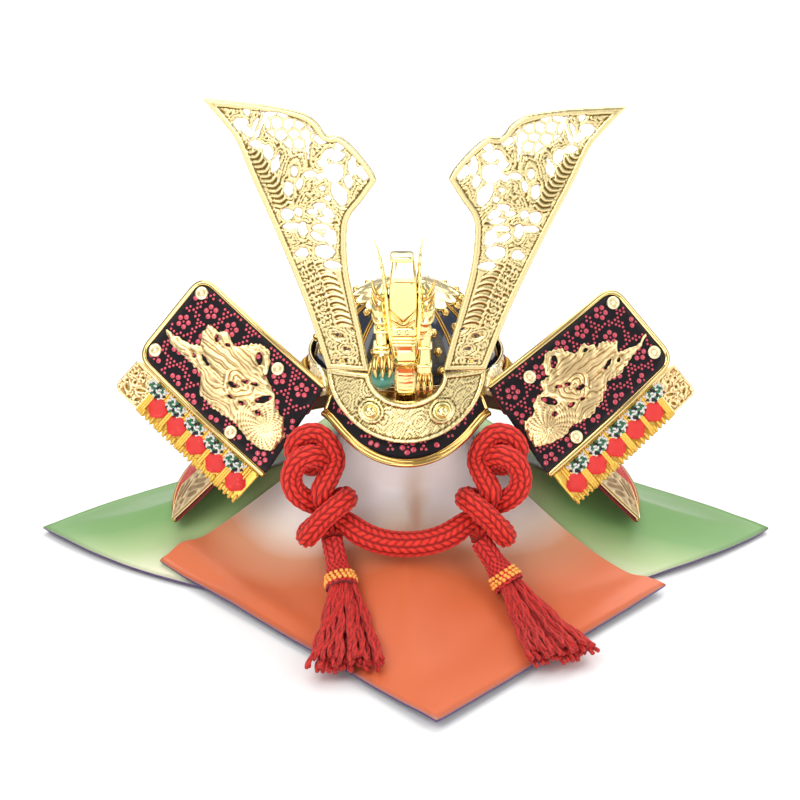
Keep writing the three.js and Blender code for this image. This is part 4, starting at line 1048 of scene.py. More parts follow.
def strip_field(panel):
    gap = 2 * RIM_RADIUS + 0.4
    below, sink = STRIP_WIDTH + gap, PANEL_WALL + 0.4

    def place(p, step):
        return panel.at(p[0], p[1], 0.0) + panel.down * step - panel.normal * sink

    end = panel.corners[3] + np.array([2.0, 0])
    out = panel.corners[2]
    return Field(place(end, gap), place(end, below), place(out, gap), place(out, below), PANEL_BULGE * 0.8)


CORNER_STEPS = 8


def rounded(corners, radii):
    """Outline of a polygon whose corners are cut by quadratic curves."""
    corners = [np.asarray(c, dtype=float) for c in corners]
    points = []
    for k, (corner, radius) in enumerate(zip(corners, radii)):
        before, after = corners[k - 1], corners[(k + 1) % len(corners)]
        start = corner + unit(before - corner) * radius
        end = corner + unit(after - corner) * radius
        t = np.linspace(0, 1, CORNER_STEPS)[:, None]
        points.append((1 - t) ** 2 * start + 2 * t * (1 - t) * corner + t ** 2 * end)
    return np.vstack(points)


def field_grid(field, margin, step):
    corners = np.array(field.corners)
    return plan_grid(corners.min(0) - margin, corners.max(0) + margin, step)


def field_plate(name, field, shape, x, y, relief, low, thickness, material, nodes=(), toned=False):
    """A plate on a curved field; low is the height of its middle plane over the field."""
    points, faces, tone = plate(shape, x, y, relief, thickness, lambda s, t, h: field.at(s, t, h + low))
    turn = np.dot(np.cross(field.along, field.down), field.normal) < 0
    make_piece(name, (points, faces[:, ::-1] if turn else faces), [material], nodes,
               values={"tone": tone} if toned else None)


BLOSSOM_PITCH, BLOSSOM_RING, PETAL_RADIUS, PISTIL_RADIUS = 12.5, 2.15, 1.12, 0.5
CHAIN_PITCH, CHAIN_RADIUS = 1.72, 0.6


def blossom_dots(inside, low, high, seed):
    """Dotted leather: (x, y, radius) of blossoms of five dots round a small one, with double
    chains of small dots along the borders between them."""
    local = np.random.default_rng(seed)
    seeds = [(x + (6.2 if k % 2 else 0) + local.uniform(-1.6, 1.6), y + local.uniform(-1.6, 1.6))
             for k, y in enumerate(np.arange(low[1] - 4, high[1] + 8, BLOSSOM_PITCH * 0.86))
             for x in np.arange(low[0] - 8, high[0] + 8, BLOSSOM_PITCH)]
    dots = []
    for sx, sy in seeds:
        turns = local.uniform(0, TAU) + np.arange(5) * TAU / 5
        dots += [(sx + BLOSSOM_RING * math.cos(turn), sy + BLOSSOM_RING * math.sin(turn), PETAL_RADIUS)
                 for turn in turns]
        dots.append((sx, sy, PISTIL_RADIUS))
    gx, gy = plan_grid(low, high, CHAIN_PITCH, squeeze=0.87)
    gx[1::2] += CHAIN_PITCH / 2
    gx = gx + local.uniform(-0.14, 0.14, gx.shape)
    gy = gy + local.uniform(-0.14, 0.14, gy.shape)
    first, second = two_nearest(gx, gy, seeds)
    chain = (second - first < 2.2) & (first > 4.0)
    dots += [(a, b, CHAIN_RADIUS) for a, b in zip(gx[chain], gy[chain])]
    dots = np.array(dots)
    return dots[inside(dots[:, 0], dots[:, 1]) > dots[:, 2] + 0.3]


DOME_RINGS = [(1.0, -0.1), (0.86, 0.6), (0.5, 0.95)]
DOME_HEIGHT, DOME_SIDES = 0.28, 7


def make_domes(name, dots, at):
    """Low red domes on a surface: at(x, y, height) gives the space point."""
    angle = full_turn(DOME_SIDES)
    rows = []
    for radius, rise in DOME_RINGS:
        x = dots[:, :1] + dots[:, 2:] * radius * np.cos(angle)[None]
        y = dots[:, 1:2] + dots[:, 2:] * radius * np.sin(angle)[None]
        rows.append(at(x, y, np.full(x.shape, DOME_HEIGHT * rise)))
    tops = at(dots[:, :1], dots[:, 1:2], np.full((len(dots), 1), DOME_HEIGHT))
    block = np.concatenate([*rows, tops], axis=1)
    j = np.arange(DOME_SIDES)
    last, tip = (len(DOME_RINGS) - 1) * DOME_SIDES, np.full(DOME_SIDES, len(DOME_RINGS) * DOME_SIDES)
    cap = np.stack([last + j, last + (j + 1) % DOME_SIDES, tip, tip], 1)
    flip = grid_faces(len(DOME_RINGS), DOME_SIDES, close_columns=True)[:, [0, 3, 2, 1]]
    start = (np.arange(len(dots)) * block.shape[1])[:, None, None]
    faces = np.vstack([(flip[None] + start).reshape(-1, 4), (cap[None] + start).reshape(-1, 4)])
    make_piece(name, (block.reshape(-1, 3), faces), [DOT_RED])


DOT_RED = make_plain("red_lacquer_dots", (0.62, 0.05, 0.09), 0.22, grain=2000.0, depth=0.00001, coat=0.5)

# dragon outlines: shares of the panel's length and width
DRAGON_OUTLINES = {
    "left": [
        (0.98, 0.63), (0.91, 0.61), (0.82, 0.57), (0.74, 0.5), (0.79, 0.4), (0.79, 0.29), (0.71, 0.27),
        (0.67, 0.21), (0.59, 0.28), (0.53, 0.19), (0.48, 0.09), (0.41, 0.06), (0.35, 0.13), (0.33, 0.28),
        (0.23, 0.35), (0.17, 0.45), (0.08, 0.49), (0.03, 0.61), (0.04, 0.78), (0.1, 0.85), (0.2, 0.86),
        (0.31, 0.82), (0.42, 0.86), (0.57, 0.86), (0.65, 0.7), (0.78, 0.68), (0.89, 0.7),
    ],
    "right": [
        (0.98, 0.61), (0.9, 0.64), (0.82, 0.59), (0.76, 0.54), (0.81, 0.46), (0.73, 0.36), (0.65, 0.3),
        (0.64, 0.24), (0.55, 0.28), (0.5, 0.13), (0.42, 0.07), (0.35, 0.13), (0.34, 0.27), (0.28, 0.27),
        (0.26, 0.36), (0.18, 0.37), (0.14, 0.47), (0.06, 0.47), (0.03, 0.57), (0.03, 0.72), (0.09, 0.78),
        (0.2, 0.83), (0.28, 0.8), (0.41, 0.86), (0.51, 0.81), (0.6, 0.7), (0.71, 0.73), (0.81, 0.68),
        (0.91, 0.66),
    ],
}
# openings of the dragon: shares of length and width, half sizes in mm, turn in degrees
DRAGON_HOLES = [
    (0.7, 0.33, 1.6, 0.9, -45), (0.62, 0.305, 1.1, 0.9, 0), (0.417, 0.185, 2.8, 1.3, -48),
    (0.455, 0.564, 2.0, 1.0, 16), (0.402, 0.454, 1.3, 0.9, 30), (0.35, 0.413, 1.5, 0.7, 25),
    (0.423, 0.67, 1.4, 0.6, 16), (0.348, 0.64, 1.6, 0.9, 16), (0.253, 0.462, 3.4, 1.5, 57),
    (0.232, 0.6, 1.4, 1.0, 0), (0.749, 0.614, 1.3, 0.7, -30), (0.678, 0.571, 3.0, 0.8, -14),
]
# middles of the studs: shares of length and width
STUDS = {
    "left": [(0.95, 0.1), (0.955, 0.86), (0.29, 0.14), (0.3, 0.93)],
    "right": [(0.95, 0.11), (0.95, 0.82), (0.24, 0.15), (0.26, 0.92)],
}
# radius and height of a stud, a cupped disc with a raised middle
STUD_PROFILE = np.array([
    (2.7, 0), (2.75, 0.5), (2.55, 0.95), (2.0, 1.15), (1.55, 0.95), (1.3, 0.7), (1.1, 0.95), (0.75, 1.3),
    (0.35, 1.45), (0.02, 1.5),
])
STUD_SIDES, STUD_LIFT = 28, 0.25
PANEL_SEEDS = {"left": 3, "right": 8}
DRAGON_LIFT, DRAGON_WALL = 0.75, 0.62


def make_panel(label):
    field = panel_field(label)
    x, y = field_grid(field, 1.0, 1.2)
    outline = rounded(field.corners, (0.5, PANEL_CORNER, PANEL_CORNER, 0.5))
    shape = distance_polygon(x, y, outline)
    field_plate(f"leather_panel_{label}", field, shape, x, y, np.minimum(0, shape - 0.5) * 0.3,
                PANEL_WALL, PANEL_WALL, LEATHER, [f"panel_{label}"])
    dots = blossom_dots(lambda a, b: distance_polygon(a, b, outline), outline.min(0), outline.max(0),
                        PANEL_SEEDS[label])
    make_domes(f"leather_dots_{label}", dots, lambda a, b, h: field.at(a, b, h + PANEL_WALL))
    make_panel_rim(label, field, outline)
    make_dragon(label, field)
    for k, (u, v) in enumerate(STUDS[label]):
        make_stud(f"{label}_{k + 1}", field, field.share(u, v))


def make_panel_rim(label, field, outline):
    """A gold roll round the panel's three free edges."""
    count = 220
    line = np.vstack([field.corners[0], outline[CORNER_STEPS:3 * CORNER_STEPS], field.corners[3]])
    run = run_along(line)
    even = np.linspace(0, run[-1], count)
    place = np.stack([np.interp(even, run, line[:, 0]), np.interp(even, run, line[:, 1])], 1)
    ahead = unit(np.gradient(place, axis=0))
    away = np.stack([ahead[:, 1], -ahead[:, 0]], 1)
    if np.sum(away * (place - field.share(0.5, 0.5))) < 0:
        away = -away
    s, t = (place + away * (RIM_RADIUS - 0.1)).T
    points, faces = roll(field.at(s, t, np.full(count, PANEL_WALL * 0.62)), RIM_RADIUS, 16)
    make_piece(f"gold_rim_{label}", (points, faces), [BRIGHT_GOLD], [f"panel_rim_{label}"])


def make_dragon(label, field):
    """A chased and pierced plate: scales on the coil, a mane that flows round the face."""
    x, y = field_grid(field, 0.0, FINE_STEP)
    corners = [field.share(u, v) for u, v in DRAGON_OUTLINES[label]]
    body = distance_polygon(x, y, corners) + 0.45 * soft_noise(x, y, 3.6, 51) + 0.25
    spikes = np.abs(np.mod((x * 0.8 + y * 0.6) / 1.9, 1) - 0.5) * 2 - 0.5
    tufts = smooth_step(-0.6, 0.4, soft_noise(x, y, 17, 54)) * smooth_step(2.6, 0.6, body)
    body = body + 0.6 * spikes * tufts
    blobs = [(*field.share(u, v), a, b, turn) for u, v, a, b, turn in DRAGON_HOLES]
    holes = distance_blobs(x, y, blobs) + 0.25 * soft_noise(x, y, 2.5, 52)
    shape = np.minimum(body, holes)
    head = field.share(0.42, 0.52)
    coil = field.share(0.15, 0.68)
    around, turn = np.hypot(x - coil[0], y - coil[1]), np.arctan2(y - coil[1], x - coil[0])
    in_coil = smooth_step(13.5, 12, around)
    scales = np.cos(turn * 22 + around * 1.9) * np.cos(around * TAU / 2.1 + 0.8 * np.sin(turn * 5))
    flow = y + 3.4 * soft_noise(x, y, 19, 53) + 0.8 * soft_noise(x, y, 6.5, 55)
    mane = np.sin(flow * TAU / 1.25) * 0.5 + 0.6 * np.sin(flow * TAU / 3.7 + 1)
    brow = np.hypot(x - head[0], (y - head[1]) * 1.25)
    face = np.cos(brow * TAU / 2.3 + 2.5 * np.sin(np.arctan2(y - head[1], x - head[0]) * 3))
    mane = mane + (face - mane) * smooth_step(8.5, 6.0, brow)
    lines = mane * (1 - in_coil) + scales * in_coil
    dome = 1 - np.exp(-np.maximum(shape, 0) / 1.6)
    swell = 0.5 * np.exp(-((x - head[0]) ** 2 + (y - head[1]) ** 2) / 90) + 0.45 * bell(around, 8.5)
    relief = 0.55 * dome + swell * dome + 0.14 * lines * smooth_step(0.15, 0.7, shape)
    field_plate(f"chased_dragon_{label}", field, shape, x, y, relief, PANEL_WALL + DRAGON_LIFT, DRAGON_WALL,
                CHASED_PALE, [f"dragon_{label}"], toned=True)


def turned(centre, ahead, above, out, profile, sides):
    """Rings of a turned body: the profile's rows are (radius, height)."""
    spin, profile = full_turn(sides), np.asarray(profile, dtype=float)
    ring = np.cos(spin)[:, None] * ahead + np.sin(spin)[:, None] * above
    return centre + profile[:, None, :1] * ring + profile[:, None, 1:] * out


def make_stud(label, field, at):
    base = field.at(at[0], at[1], PANEL_WALL + STUD_LIFT)
    rings = turned(base, field.along, field.down, field.normal, STUD_PROFILE, STUD_SIDES)
    faces = grid_faces(len(STUD_PROFILE), STUD_SIDES, close_columns=True)
    if np.dot(np.cross(field.along, field.down), field.normal) > 0:
        faces = faces[:, ::-1]
    make_piece(f"cup_stud_{label}", (rings.reshape(-1, 3), faces), [PALE_GOLD],
               [f"stud_{label}"])


for label in PANEL_OUT:
    make_panel(label)


# Tassels: a netted head and a fan of twisted cords lying on the cloth
TASSELS = {"left": (-1, (-25.0, -77.0), (-23.0, -121.0)), "right": (1, (45.5, -73.0), (61.0, -113.0))}
# second colour: painted shade between the cords' lumps and the net's lines
TASSEL_RED = make_braid_material("tassel_red", (0.82, 0.04, 0.03), (0.3, 0.008, 0.008), 0.4)
BEAD_GOLD = make_plain("gold_beads", (0.9, 0.38, 0.06), 0.35, grain=1800.0, depth=0.00003)


def cloth_height(x, y):
    """Height of the upper cloth's base surface at a plan point."""
    angle, radius = np.arctan2(y, x), np.hypot(x, y)
    edge = green_edge(angle)
    share = np.clip((radius - POST_RADIUS) / (edge - POST_RADIUS), 0, 1)
    return shoulder(angle) * (1 - share) ** 1.5 + CLOTH_TOPS["orange"]


TASSEL_ROWS, TASSEL_HEAD, HEAD_SHARE, HEAD_SIDES = 200, 5.0, 0.3, 60
TASSEL_SEEDS = {"left": 17, "right": 29}
BEAD_RADIUS, BEAD_ROWS, BEAD_SIDES = 0.85, 7, 10
# how far down the head a row of beads lies, and its number of beads
BEAD_LEVELS = ((0.72, 16), (0.8, 17), (0.88, 18))
HEAD_RADIUS, HEAD_SWELL = 3.7, 2.3
STRANDS, STRAND_ROWS, STRAND_SIDES, STRAND_RADIUS = 76, 34, 6, 0.98
SKIRT_HALF, SKIRT_SPREAD = 4.6, 10.2


def ball(rows, sides, margin):
    """Unit ball as rings from pole to pole, with small holes of the margin's angle there."""
    polar, spin = np.linspace(margin, math.pi - margin, rows)[:, None], full_turn(sides)[None, :]
    return np.stack([np.sin(polar) * np.cos(spin), np.sin(polar) * np.sin(spin),
                     np.cos(polar) + 0 * spin], -1)


def make_tassel(label, side, middle, end):
    """The head, its beads and the skirt, along one line from the knot to the cloth."""
    points = [KNOT[0] * np.array([-side, 1, 1]) + [0, -0.6, -0.8]]
    points += [[x, y, float(cloth_height(x, y)) + TASSEL_HEAD + 0.5] for x, y in (middle, end)]
    line, length = spline(points, TASSEL_ROWS)
    run = unit(np.gradient(line, axis=0))
    across = unit(np.cross(run, UP))
    up = np.cross(across, run)
    head_rows = int(HEAD_SHARE * TASSEL_ROWS)
    share = np.linspace(0, 1, TASSEL_ROWS)
    way = share[:head_rows] / HEAD_SHARE
    swell = HEAD_RADIUS + HEAD_SWELL * smooth_step(0.35, 1.0, way)
    return [make_tassel_head(label, line, across, up, (share[:head_rows] * length)[:, None], way, swell),
            make_beads(label, line, across, up, swell),
            make_skirt(label, line, across, share, length)]


def make_tassel_head(label, line, across, up, s, way, swell):
    """The cord's end, then a netted cone."""
    rows, angle = len(way), full_turn(HEAD_SIDES)[None]
    lumps = braid(s, angle, 2.7, CORD_STRANDS)
    net = np.maximum(np.abs(np.sin(angle * 7 + s * 1.1)), np.abs(np.sin(angle * 7 - s * 1.1))) ** 5
    mix = smooth_step(0.4, 0.5, way)[:, None]
    radius = swell[:, None] + 0.75 * lumps * (1 - mix) + 0.55 * net * mix
    ring = np.cos(angle)[..., None] * across[:rows, None] + np.sin(angle)[..., None] * up[:rows, None]
    points = line[:rows, None] + ring * radius[..., None]
    first = list(range(HEAD_SIDES - 1, -1, -1))
    last = [(rows - 1) * HEAD_SIDES + k for k in range(HEAD_SIDES)]
    lay = np.stack(np.broadcast_arrays(s, angle * 5), -1).reshape(-1, 2)
    faces = grid_faces(rows, HEAD_SIDES, close_columns=True).tolist() + [first, last]
    # height sets painted shade between the braid's lumps and between the net's lines
    return make_piece(f"tassel_head_{label}", (points.reshape(-1, 3), faces),
                      [TASSEL_RED], uv=lay,
                      values={"height": (lumps * (1 - mix) + net * mix).ravel()})


def make_beads(label, line, across, up, swell):
    beads = []
    one = BEAD_RADIUS * ball(BEAD_ROWS, BEAD_SIDES, 0.2).reshape(-1, 3)
    faces = grid_faces(BEAD_ROWS, BEAD_SIDES, close_columns=True)
    for level, count in BEAD_LEVELS:
        row = int(level * len(swell))
        for k in range(count):
            turn = (k + 0.5 * (count % 2)) * TAU / count
            out = math.cos(turn) * across[row] + math.sin(turn) * up[row]
            beads.append((line[row] + out * (swell[row] + 0.45) + one, faces))
    return make_piece(f"tassel_beads_{label}", stack(beads), [BEAD_GOLD])


def make_skirt(label, line, across, share, length):
    """Twisted cords, spread as a flat fan that widens to the end and lies on the cloth."""
    local = np.random.default_rng(TASSEL_SEEDS[label])
    parts, heights, lays = [], [], []
    angle = full_turn(STRAND_SIDES)
    for k in range(STRANDS):
        a, b = local.uniform(-1, 1), local.uniform(0, 1)
        t = np.linspace(HEAD_SHARE * 0.85, local.uniform(0.9, 1.0), STRAND_ROWS)
        place, side_way = (np.stack([np.interp(t, share, way[:, m]) for m in range(3)], 1)
                           for way in (line, across))
        spread = SKIRT_HALF + SKIRT_SPREAD * np.clip((t - HEAD_SHARE) / (1 - HEAD_SHARE), 0, 1) ** 0.85
        thick = TASSEL_HEAD * (1 - 0.3 * t) * np.sqrt(np.maximum(0, 1 - 0.75 * a * a))
        wave = 0.5 * np.sin(t * 26 + local.uniform(0, TAU)) * (t > 0.4)
        path = place + side_way * (a * spread + wave)[:, None]
        path[:, 2] += (b * 2 - 1) * thick - 1.5 * np.clip((t - 0.4) / 0.3, 0, 1)
        path[:, 2] = np.maximum(path[:, 2], cloth_height(path[:, 0], path[:, 1]) + 0.8 + b)
        along = t * length
        lobes = np.abs(np.cos(angle[None] * 1.5 + along[:, None] * 1.7 + k))
        parts.append(sweep(path, STRAND_RADIUS * (0.78 + 0.22 * lobes), STRAND_SIDES))
        heights.append(np.append(lobes.ravel(), [0.5, 0.5]))
        lays.append(tube_lay(along, angle))
    return make_piece(f"tassel_cords_{label}", stack(parts), [TASSEL_RED], [f"tassel_{label}"],
                      uv=np.vstack(lays), values={"height": np.concatenate(heights)})


tassel_pieces = []
for label, (side, middle, end) in TASSELS.items():
    tassel_pieces += make_tassel(label, side, middle, end)


# Laced strips below the panels
PAD_RED = make_plain("woven_pad", (0.8, 0.03, 0.025), 0.6, grain=2600.0, depth=0.00006)
GOLD_THREAD = make_plain("gold_thread", (0.95, 0.6, 0.1), 0.36, 0.55, grain=2400.0)
CHECKER = {word: make_plain(f"{word}_thread", colour, 0.5, grain=2600.0, depth=0.00005) for word, colour in (
    ("black", (0.015, 0.015, 0.02)), ("white", (0.85, 0.84, 0.8)), ("green", (0.03, 0.2, 0.09)))}


def cords_on(field, lines, radius, sides):
    """Round cords along lines of (s, t, height) on a field."""
    paths = [spline(field.at(*np.array(line, dtype=float).T), 3 * len(line))[0] for line in lines]
    return stack([roll(path, radius, sides) for path in paths])


def octagon_distance(x, y, half_x, half_y, cut):
    dx, dy = half_x - np.abs(x), half_y - np.abs(y)
    return np.minimum(np.minimum(dx, dy), (dx + dy - cut) / math.sqrt(2))


STRIP_COLUMNS, STRIP_REACH = 5, 0.8
STRIP_PITCH = STRIP_REACH / STRIP_COLUMNS
STRIP_FACE = STRIP_WALL * 0.9
PAD_HALF, PAD_CUT = (4.6, 4.7), 3.5
THREAD_RADIUS, STRIP_CORD_RADIUS = 0.56, 0.66
FITTING_LIFT, FITTING_WALL = 0.7, 0.6
KNOT_SEEDS = {"left": 5, "right": 6}
KNOT_COLOURS = ("black", "white", "green", "white")
# openings of the end fitting: shares of length and width, half sizes in mm, turn in degrees
FITTING_HOLES = [
    (0.85, 0.2, 0.8, 0.6, 0), (0.87, 0.55, 1.4, 0.5, 30), (0.85, 0.8, 0.9, 0.6, 60),
    (0.91, 0.25, 0.5, 0.4, 0), (0.93, 0.5, 0.5, 0.5, 0), (0.96, 0.3, 0.4, 0.4, 0),
    (0.95, 0.75, 1.1, 0.5, -30), (0.9, 0.9, 0.5, 0.4, 0), (0.975, 0.6, 0.4, 0.4, 0),
]


def make_strip(label):
    field = strip_field(panel_field(label))
    x, y = field_grid(field, 1.0, 0.9)
    shape = distance_polygon(x, y, rounded(field.corners, (0.5, 0.5, 2.0, 2.0)))
    field_plate(f"strip_ground_{label}", field, shape, x, y, np.zeros(x.shape),
                STRIP_WALL * 0.45, STRIP_WALL * 0.8, GOLD_THREAD, [f"laced_strip_{label}"])
    make_pads(label, field)
    make_knots(label, field)
    make_gold_cords(label, field)
    make_fitting(label, field)


def make_pads(label, field):
    """One woven octagon in each column."""
    x, y = field_grid(field, 0.5, 0.27)
    shape, weave = np.full(x.shape, -9.0), np.zeros(x.shape)
    for k in range(STRIP_COLUMNS):
        px, py = field.share(STRIP_PITCH * (k + 0.5), 0.57)
        one = octagon_distance(x - px, y - py, *PAD_HALF, PAD_CUT)
        shape = np.maximum(shape, one)
        slant = np.abs(x - px) * 0.8 + (y - py)
        threads = 0.5 + 0.5 * np.cos(slant * TAU / 0.95) * np.cos((x - px) * TAU / 1.9)
        weave = np.where(one > -0.5, threads, weave)
    puff = 1 - np.exp(-np.maximum(shape, 0) / 1.3)
    field_plate(f"woven_pads_{label}", field, shape, x, y, (1.5 + 0.16 * weave) * puff, STRIP_FACE + 0.3, 0.5,
                PAD_RED)


def make_knots(label, field):
    """Small coloured threads that cross in round cushions."""
    local = np.random.default_rng(KNOT_SEEDS[label])
    low = np.min(field.corners, 0)
    threads = []
    for k in range(STRIP_COLUMNS):
        px, py = field.share(STRIP_PITCH * (k + 0.98), 0.16)
        for row in range(-4, 5):
            for column in range(-4, 5):
                dx, dy = column * 1.2 + (0.6 if row % 2 else 0), row * 1.1
                away = math.hypot(dx, dy * 1.05)
                if away > 4.6 or py + dy < low[1] + 0.2:
                    continue
                height = STRIP_FACE + 1.9 * math.sqrt(max(0.02, 1 - (away / 4.9) ** 2))
                turn = math.radians(35 if (row + column) % 2 else -35) + local.uniform(-0.2, 0.2)
                ux, uy = math.cos(turn) * 0.75, math.sin(turn) * 0.75
                line = [(px + dx + e * ux, py + dy + e * uy, height - 0.3 * abs(e)) for e in (-1, 0, 1)]
                threads.append((line, KNOT_COLOURS[(row * 2 + column * 3 + (row * column) % 3) % 4]))
    for word, material in CHECKER.items():
        lines = [line for line, colour in threads if colour == word]
        make_piece(f"knot_threads_{word}_{label}", cords_on(field, lines, THREAD_RADIUS, 5), [material])


def make_gold_cords(label, field):
    """Cords down from each knot, cords above each pad and a row over the lower edge."""
    lines = []

    def run_down(u, v0, v1, step, shares, height):
        top, end = field.share(u, v0), field.share(u, v1)
        return [(*(top + (end - top) * q + [step, 0]), height) for q in shares]

    for k in range(STRIP_COLUMNS):
        u = STRIP_PITCH * (k + 0.98)
        end = field.share(u, 0.98)
        for step in (-0.5, 0.5) if k % 2 else (-0.95, 0.0, 0.95):
            lines.append(run_down(u, 0.25, 0.98, step, (0, 0.35, 0.7, 0.92), STRIP_FACE + 0.6)
                         + [(end[0] + step, end[1] + 0.7, STRIP_WALL * 0.3)])
    for k in range(STRIP_COLUMNS):
        for step in (-1.8, -0.6, 0.6, 1.8):
            lines.append(run_down(STRIP_PITCH * (k + 0.5), 0.0, 0.4, step, (0, 0.5, 1), STRIP_FACE + 0.35))
    for q in np.arange(0.012, STRIP_REACH, 0.036):
        a, b = field.share(q, 0.84), field.share(q, 1.0)
        lines.append([(a[0], a[1], STRIP_FACE + 0.1), (a[0], a[1] + 0.8, STRIP_FACE + 0.5),
                      (b[0], b[1] - 0.4, STRIP_FACE + 0.45), (b[0], b[1] + 0.5, STRIP_FACE - 0.6),
                      (b[0], b[1] + 0.2, -0.4)])
    make_piece(f"gold_cords_{label}", cords_on(field, lines, STRIP_CORD_RADIUS, 8), [GOLD_THREAD])


def make_fitting(label, field):
    """Pierced and chased end plate with a raised border."""
    x, y = field_grid(field, 1.0, 0.25)
    corners = [field.share(u, v) for u, v in ((0.81, 0), (1.01, 0), (1.01, 1), (0.81, 1))]
    border = distance_polygon(x, y, rounded(corners, (1.0, 1.0, 3.0, 1.0)))
    spots = [(*field.share(u, v), a, b, turn) for u, v, a, b, turn in FITTING_HOLES]
    shape = np.minimum(border, distance_blobs(x, y, spots))
    curls = soft_noise(x, y, 4.2, 61) + 0.5 * soft_noise(x, y, 2.0, 62)
    relief = 0.35 * smooth_step(0, 0.5, shape) + 0.3 * np.sin(curls * 5) * smooth_step(0.4, 1.2, shape)
    relief += 0.3 * smooth_step(1.0, 0.6, border) * smooth_step(0, 0.3, border)
    field_plate(f"pierced_fitting_{label}", field, shape, x, y, relief,
                STRIP_WALL + FITTING_LIFT, FITTING_WALL, CHASED_PALE,
                [f"strip_fitting_{label}"], toned=True)


for label in PANEL_OUT:
    make_strip(label)


# Visor: dotted leather crescent with a double gold rim
VISOR_REACH, VISOR_DROP, VISOR_HALF, VISOR_WALL = 16.5, 14.0, 47.0, 1.6
VISOR_TOP = BOWL_BASE - 2.5 + VISOR_WALL / 2
VISOR_ROUND = 50.0


def visor_at(angle, share, off):
    """Point of the visor: angle in degrees from the front, share from the bowl to the edge."""
    angle, share, off = np.broadcast_arrays(angle, share, off)
    middle = np.maximum(np.cos(np.radians(angle * 90 / VISOR_HALF)), 0)
    reach = VISOR_REACH * (0.18 + 0.82 * middle ** 1.6) * share
    drop = VISOR_DROP * (0.35 + 0.65 * middle ** 2) * np.maximum(share, 0) ** 1.2
    turn = np.radians(angle - 90)
    radius = BAND_OUTER + GAP + reach
    return about(radius, turn, VISOR_TOP - drop + off)


def make_visor():
    columns, rows = 120, 18
    angle, share = np.linspace(-VISOR_HALF, VISOR_HALF, columns)[:, None], np.linspace(0, 1, rows)[None, :]
    points, faces = open_wall(visor_at(angle, share, VISOR_WALL / 2), visor_at(angle, share, -VISOR_WALL / 2))
    make_piece("leather_visor", (points, faces), [LEATHER], ["visor"])

    def width(s):
        root, edge = (visor_at(np.degrees(s / VISOR_ROUND), share, 0.0) for share in (0.0, 1.0))
        return np.linalg.norm(edge - root, axis=-1)

    half = math.radians(VISOR_HALF) * VISOR_ROUND
    inside = lambda s, t: np.minimum.reduce([half - 2.2 - np.abs(s), t - 0.4, width(s) - 0.9 - t])
    dots = blossom_dots(inside, np.array([-half, 0.0]), np.array([half, 21.0]), 12)
    make_domes("leather_dots_visor", dots,
               lambda s, t, h: visor_at(np.degrees(s / VISOR_ROUND), t / width(s), h + VISOR_WALL / 2))

    # rim: two rolls along the edge and one at each end
    run = np.linspace(-VISOR_HALF, VISOR_HALF, 140)
    parts = []
    for out, drop, radius in ((0.9, 0.25, 1.05), (2.1, -0.6, 1.2)):
        edge = visor_at(run, 1.0, drop)
        away = unit((edge - [0, BOWL_BACK, 0]) * [1, 1, 0])
        parts.append(roll(edge + away * out, radius, 9))
    for side in (-1, 1):
        parts.append(roll(visor_at(side * (VISOR_HALF + 0.6), np.linspace(-0.02, 1.02, 30), 0.35), 1.0, 12))
    make_piece("gold_rim_visor", stack(parts), [BRIGHT_GOLD], ["visor_rim"])


make_visor()


# Bowl: lacquered plates between double gilt ribs, rivets in columns, a gilt top
BOWL_WALL, BOWL_RIBS = 1.6, 16
# radius and height of a rivet
RIVET_PROFILE = np.array([
    (2.0, -0.2), (2.05, 0.3), (1.75, 0.5), (1.7, 1.1), (1.35, 1.8), (0.75, 2.25), (0.02, 2.4),
])
RIVET_SIDES = 14
# degrees up the bowl and size of the rivets in a column
RIVET_LEVELS = ((20, 0.95), (32, 0.95), (44, 0.95), (55, 0.8))
CROWN_RADIUS = 9.0
BAND_DROP, BAND_WIDTH, ROSETTES = 2.5, 10.5, 40


def bowl_at(angle, rise, off):
    """Point of the bowl: angle round it, rise from 0 at the edge to a right angle at the top."""
    angle, rise, off = np.broadcast_arrays(angle, rise, off)
    flat, tall = BOWL_RADIUS + off, BOWL_RISE + off
    return about(flat * np.cos(rise), angle, BOWL_BASE + tall * np.sin(rise))


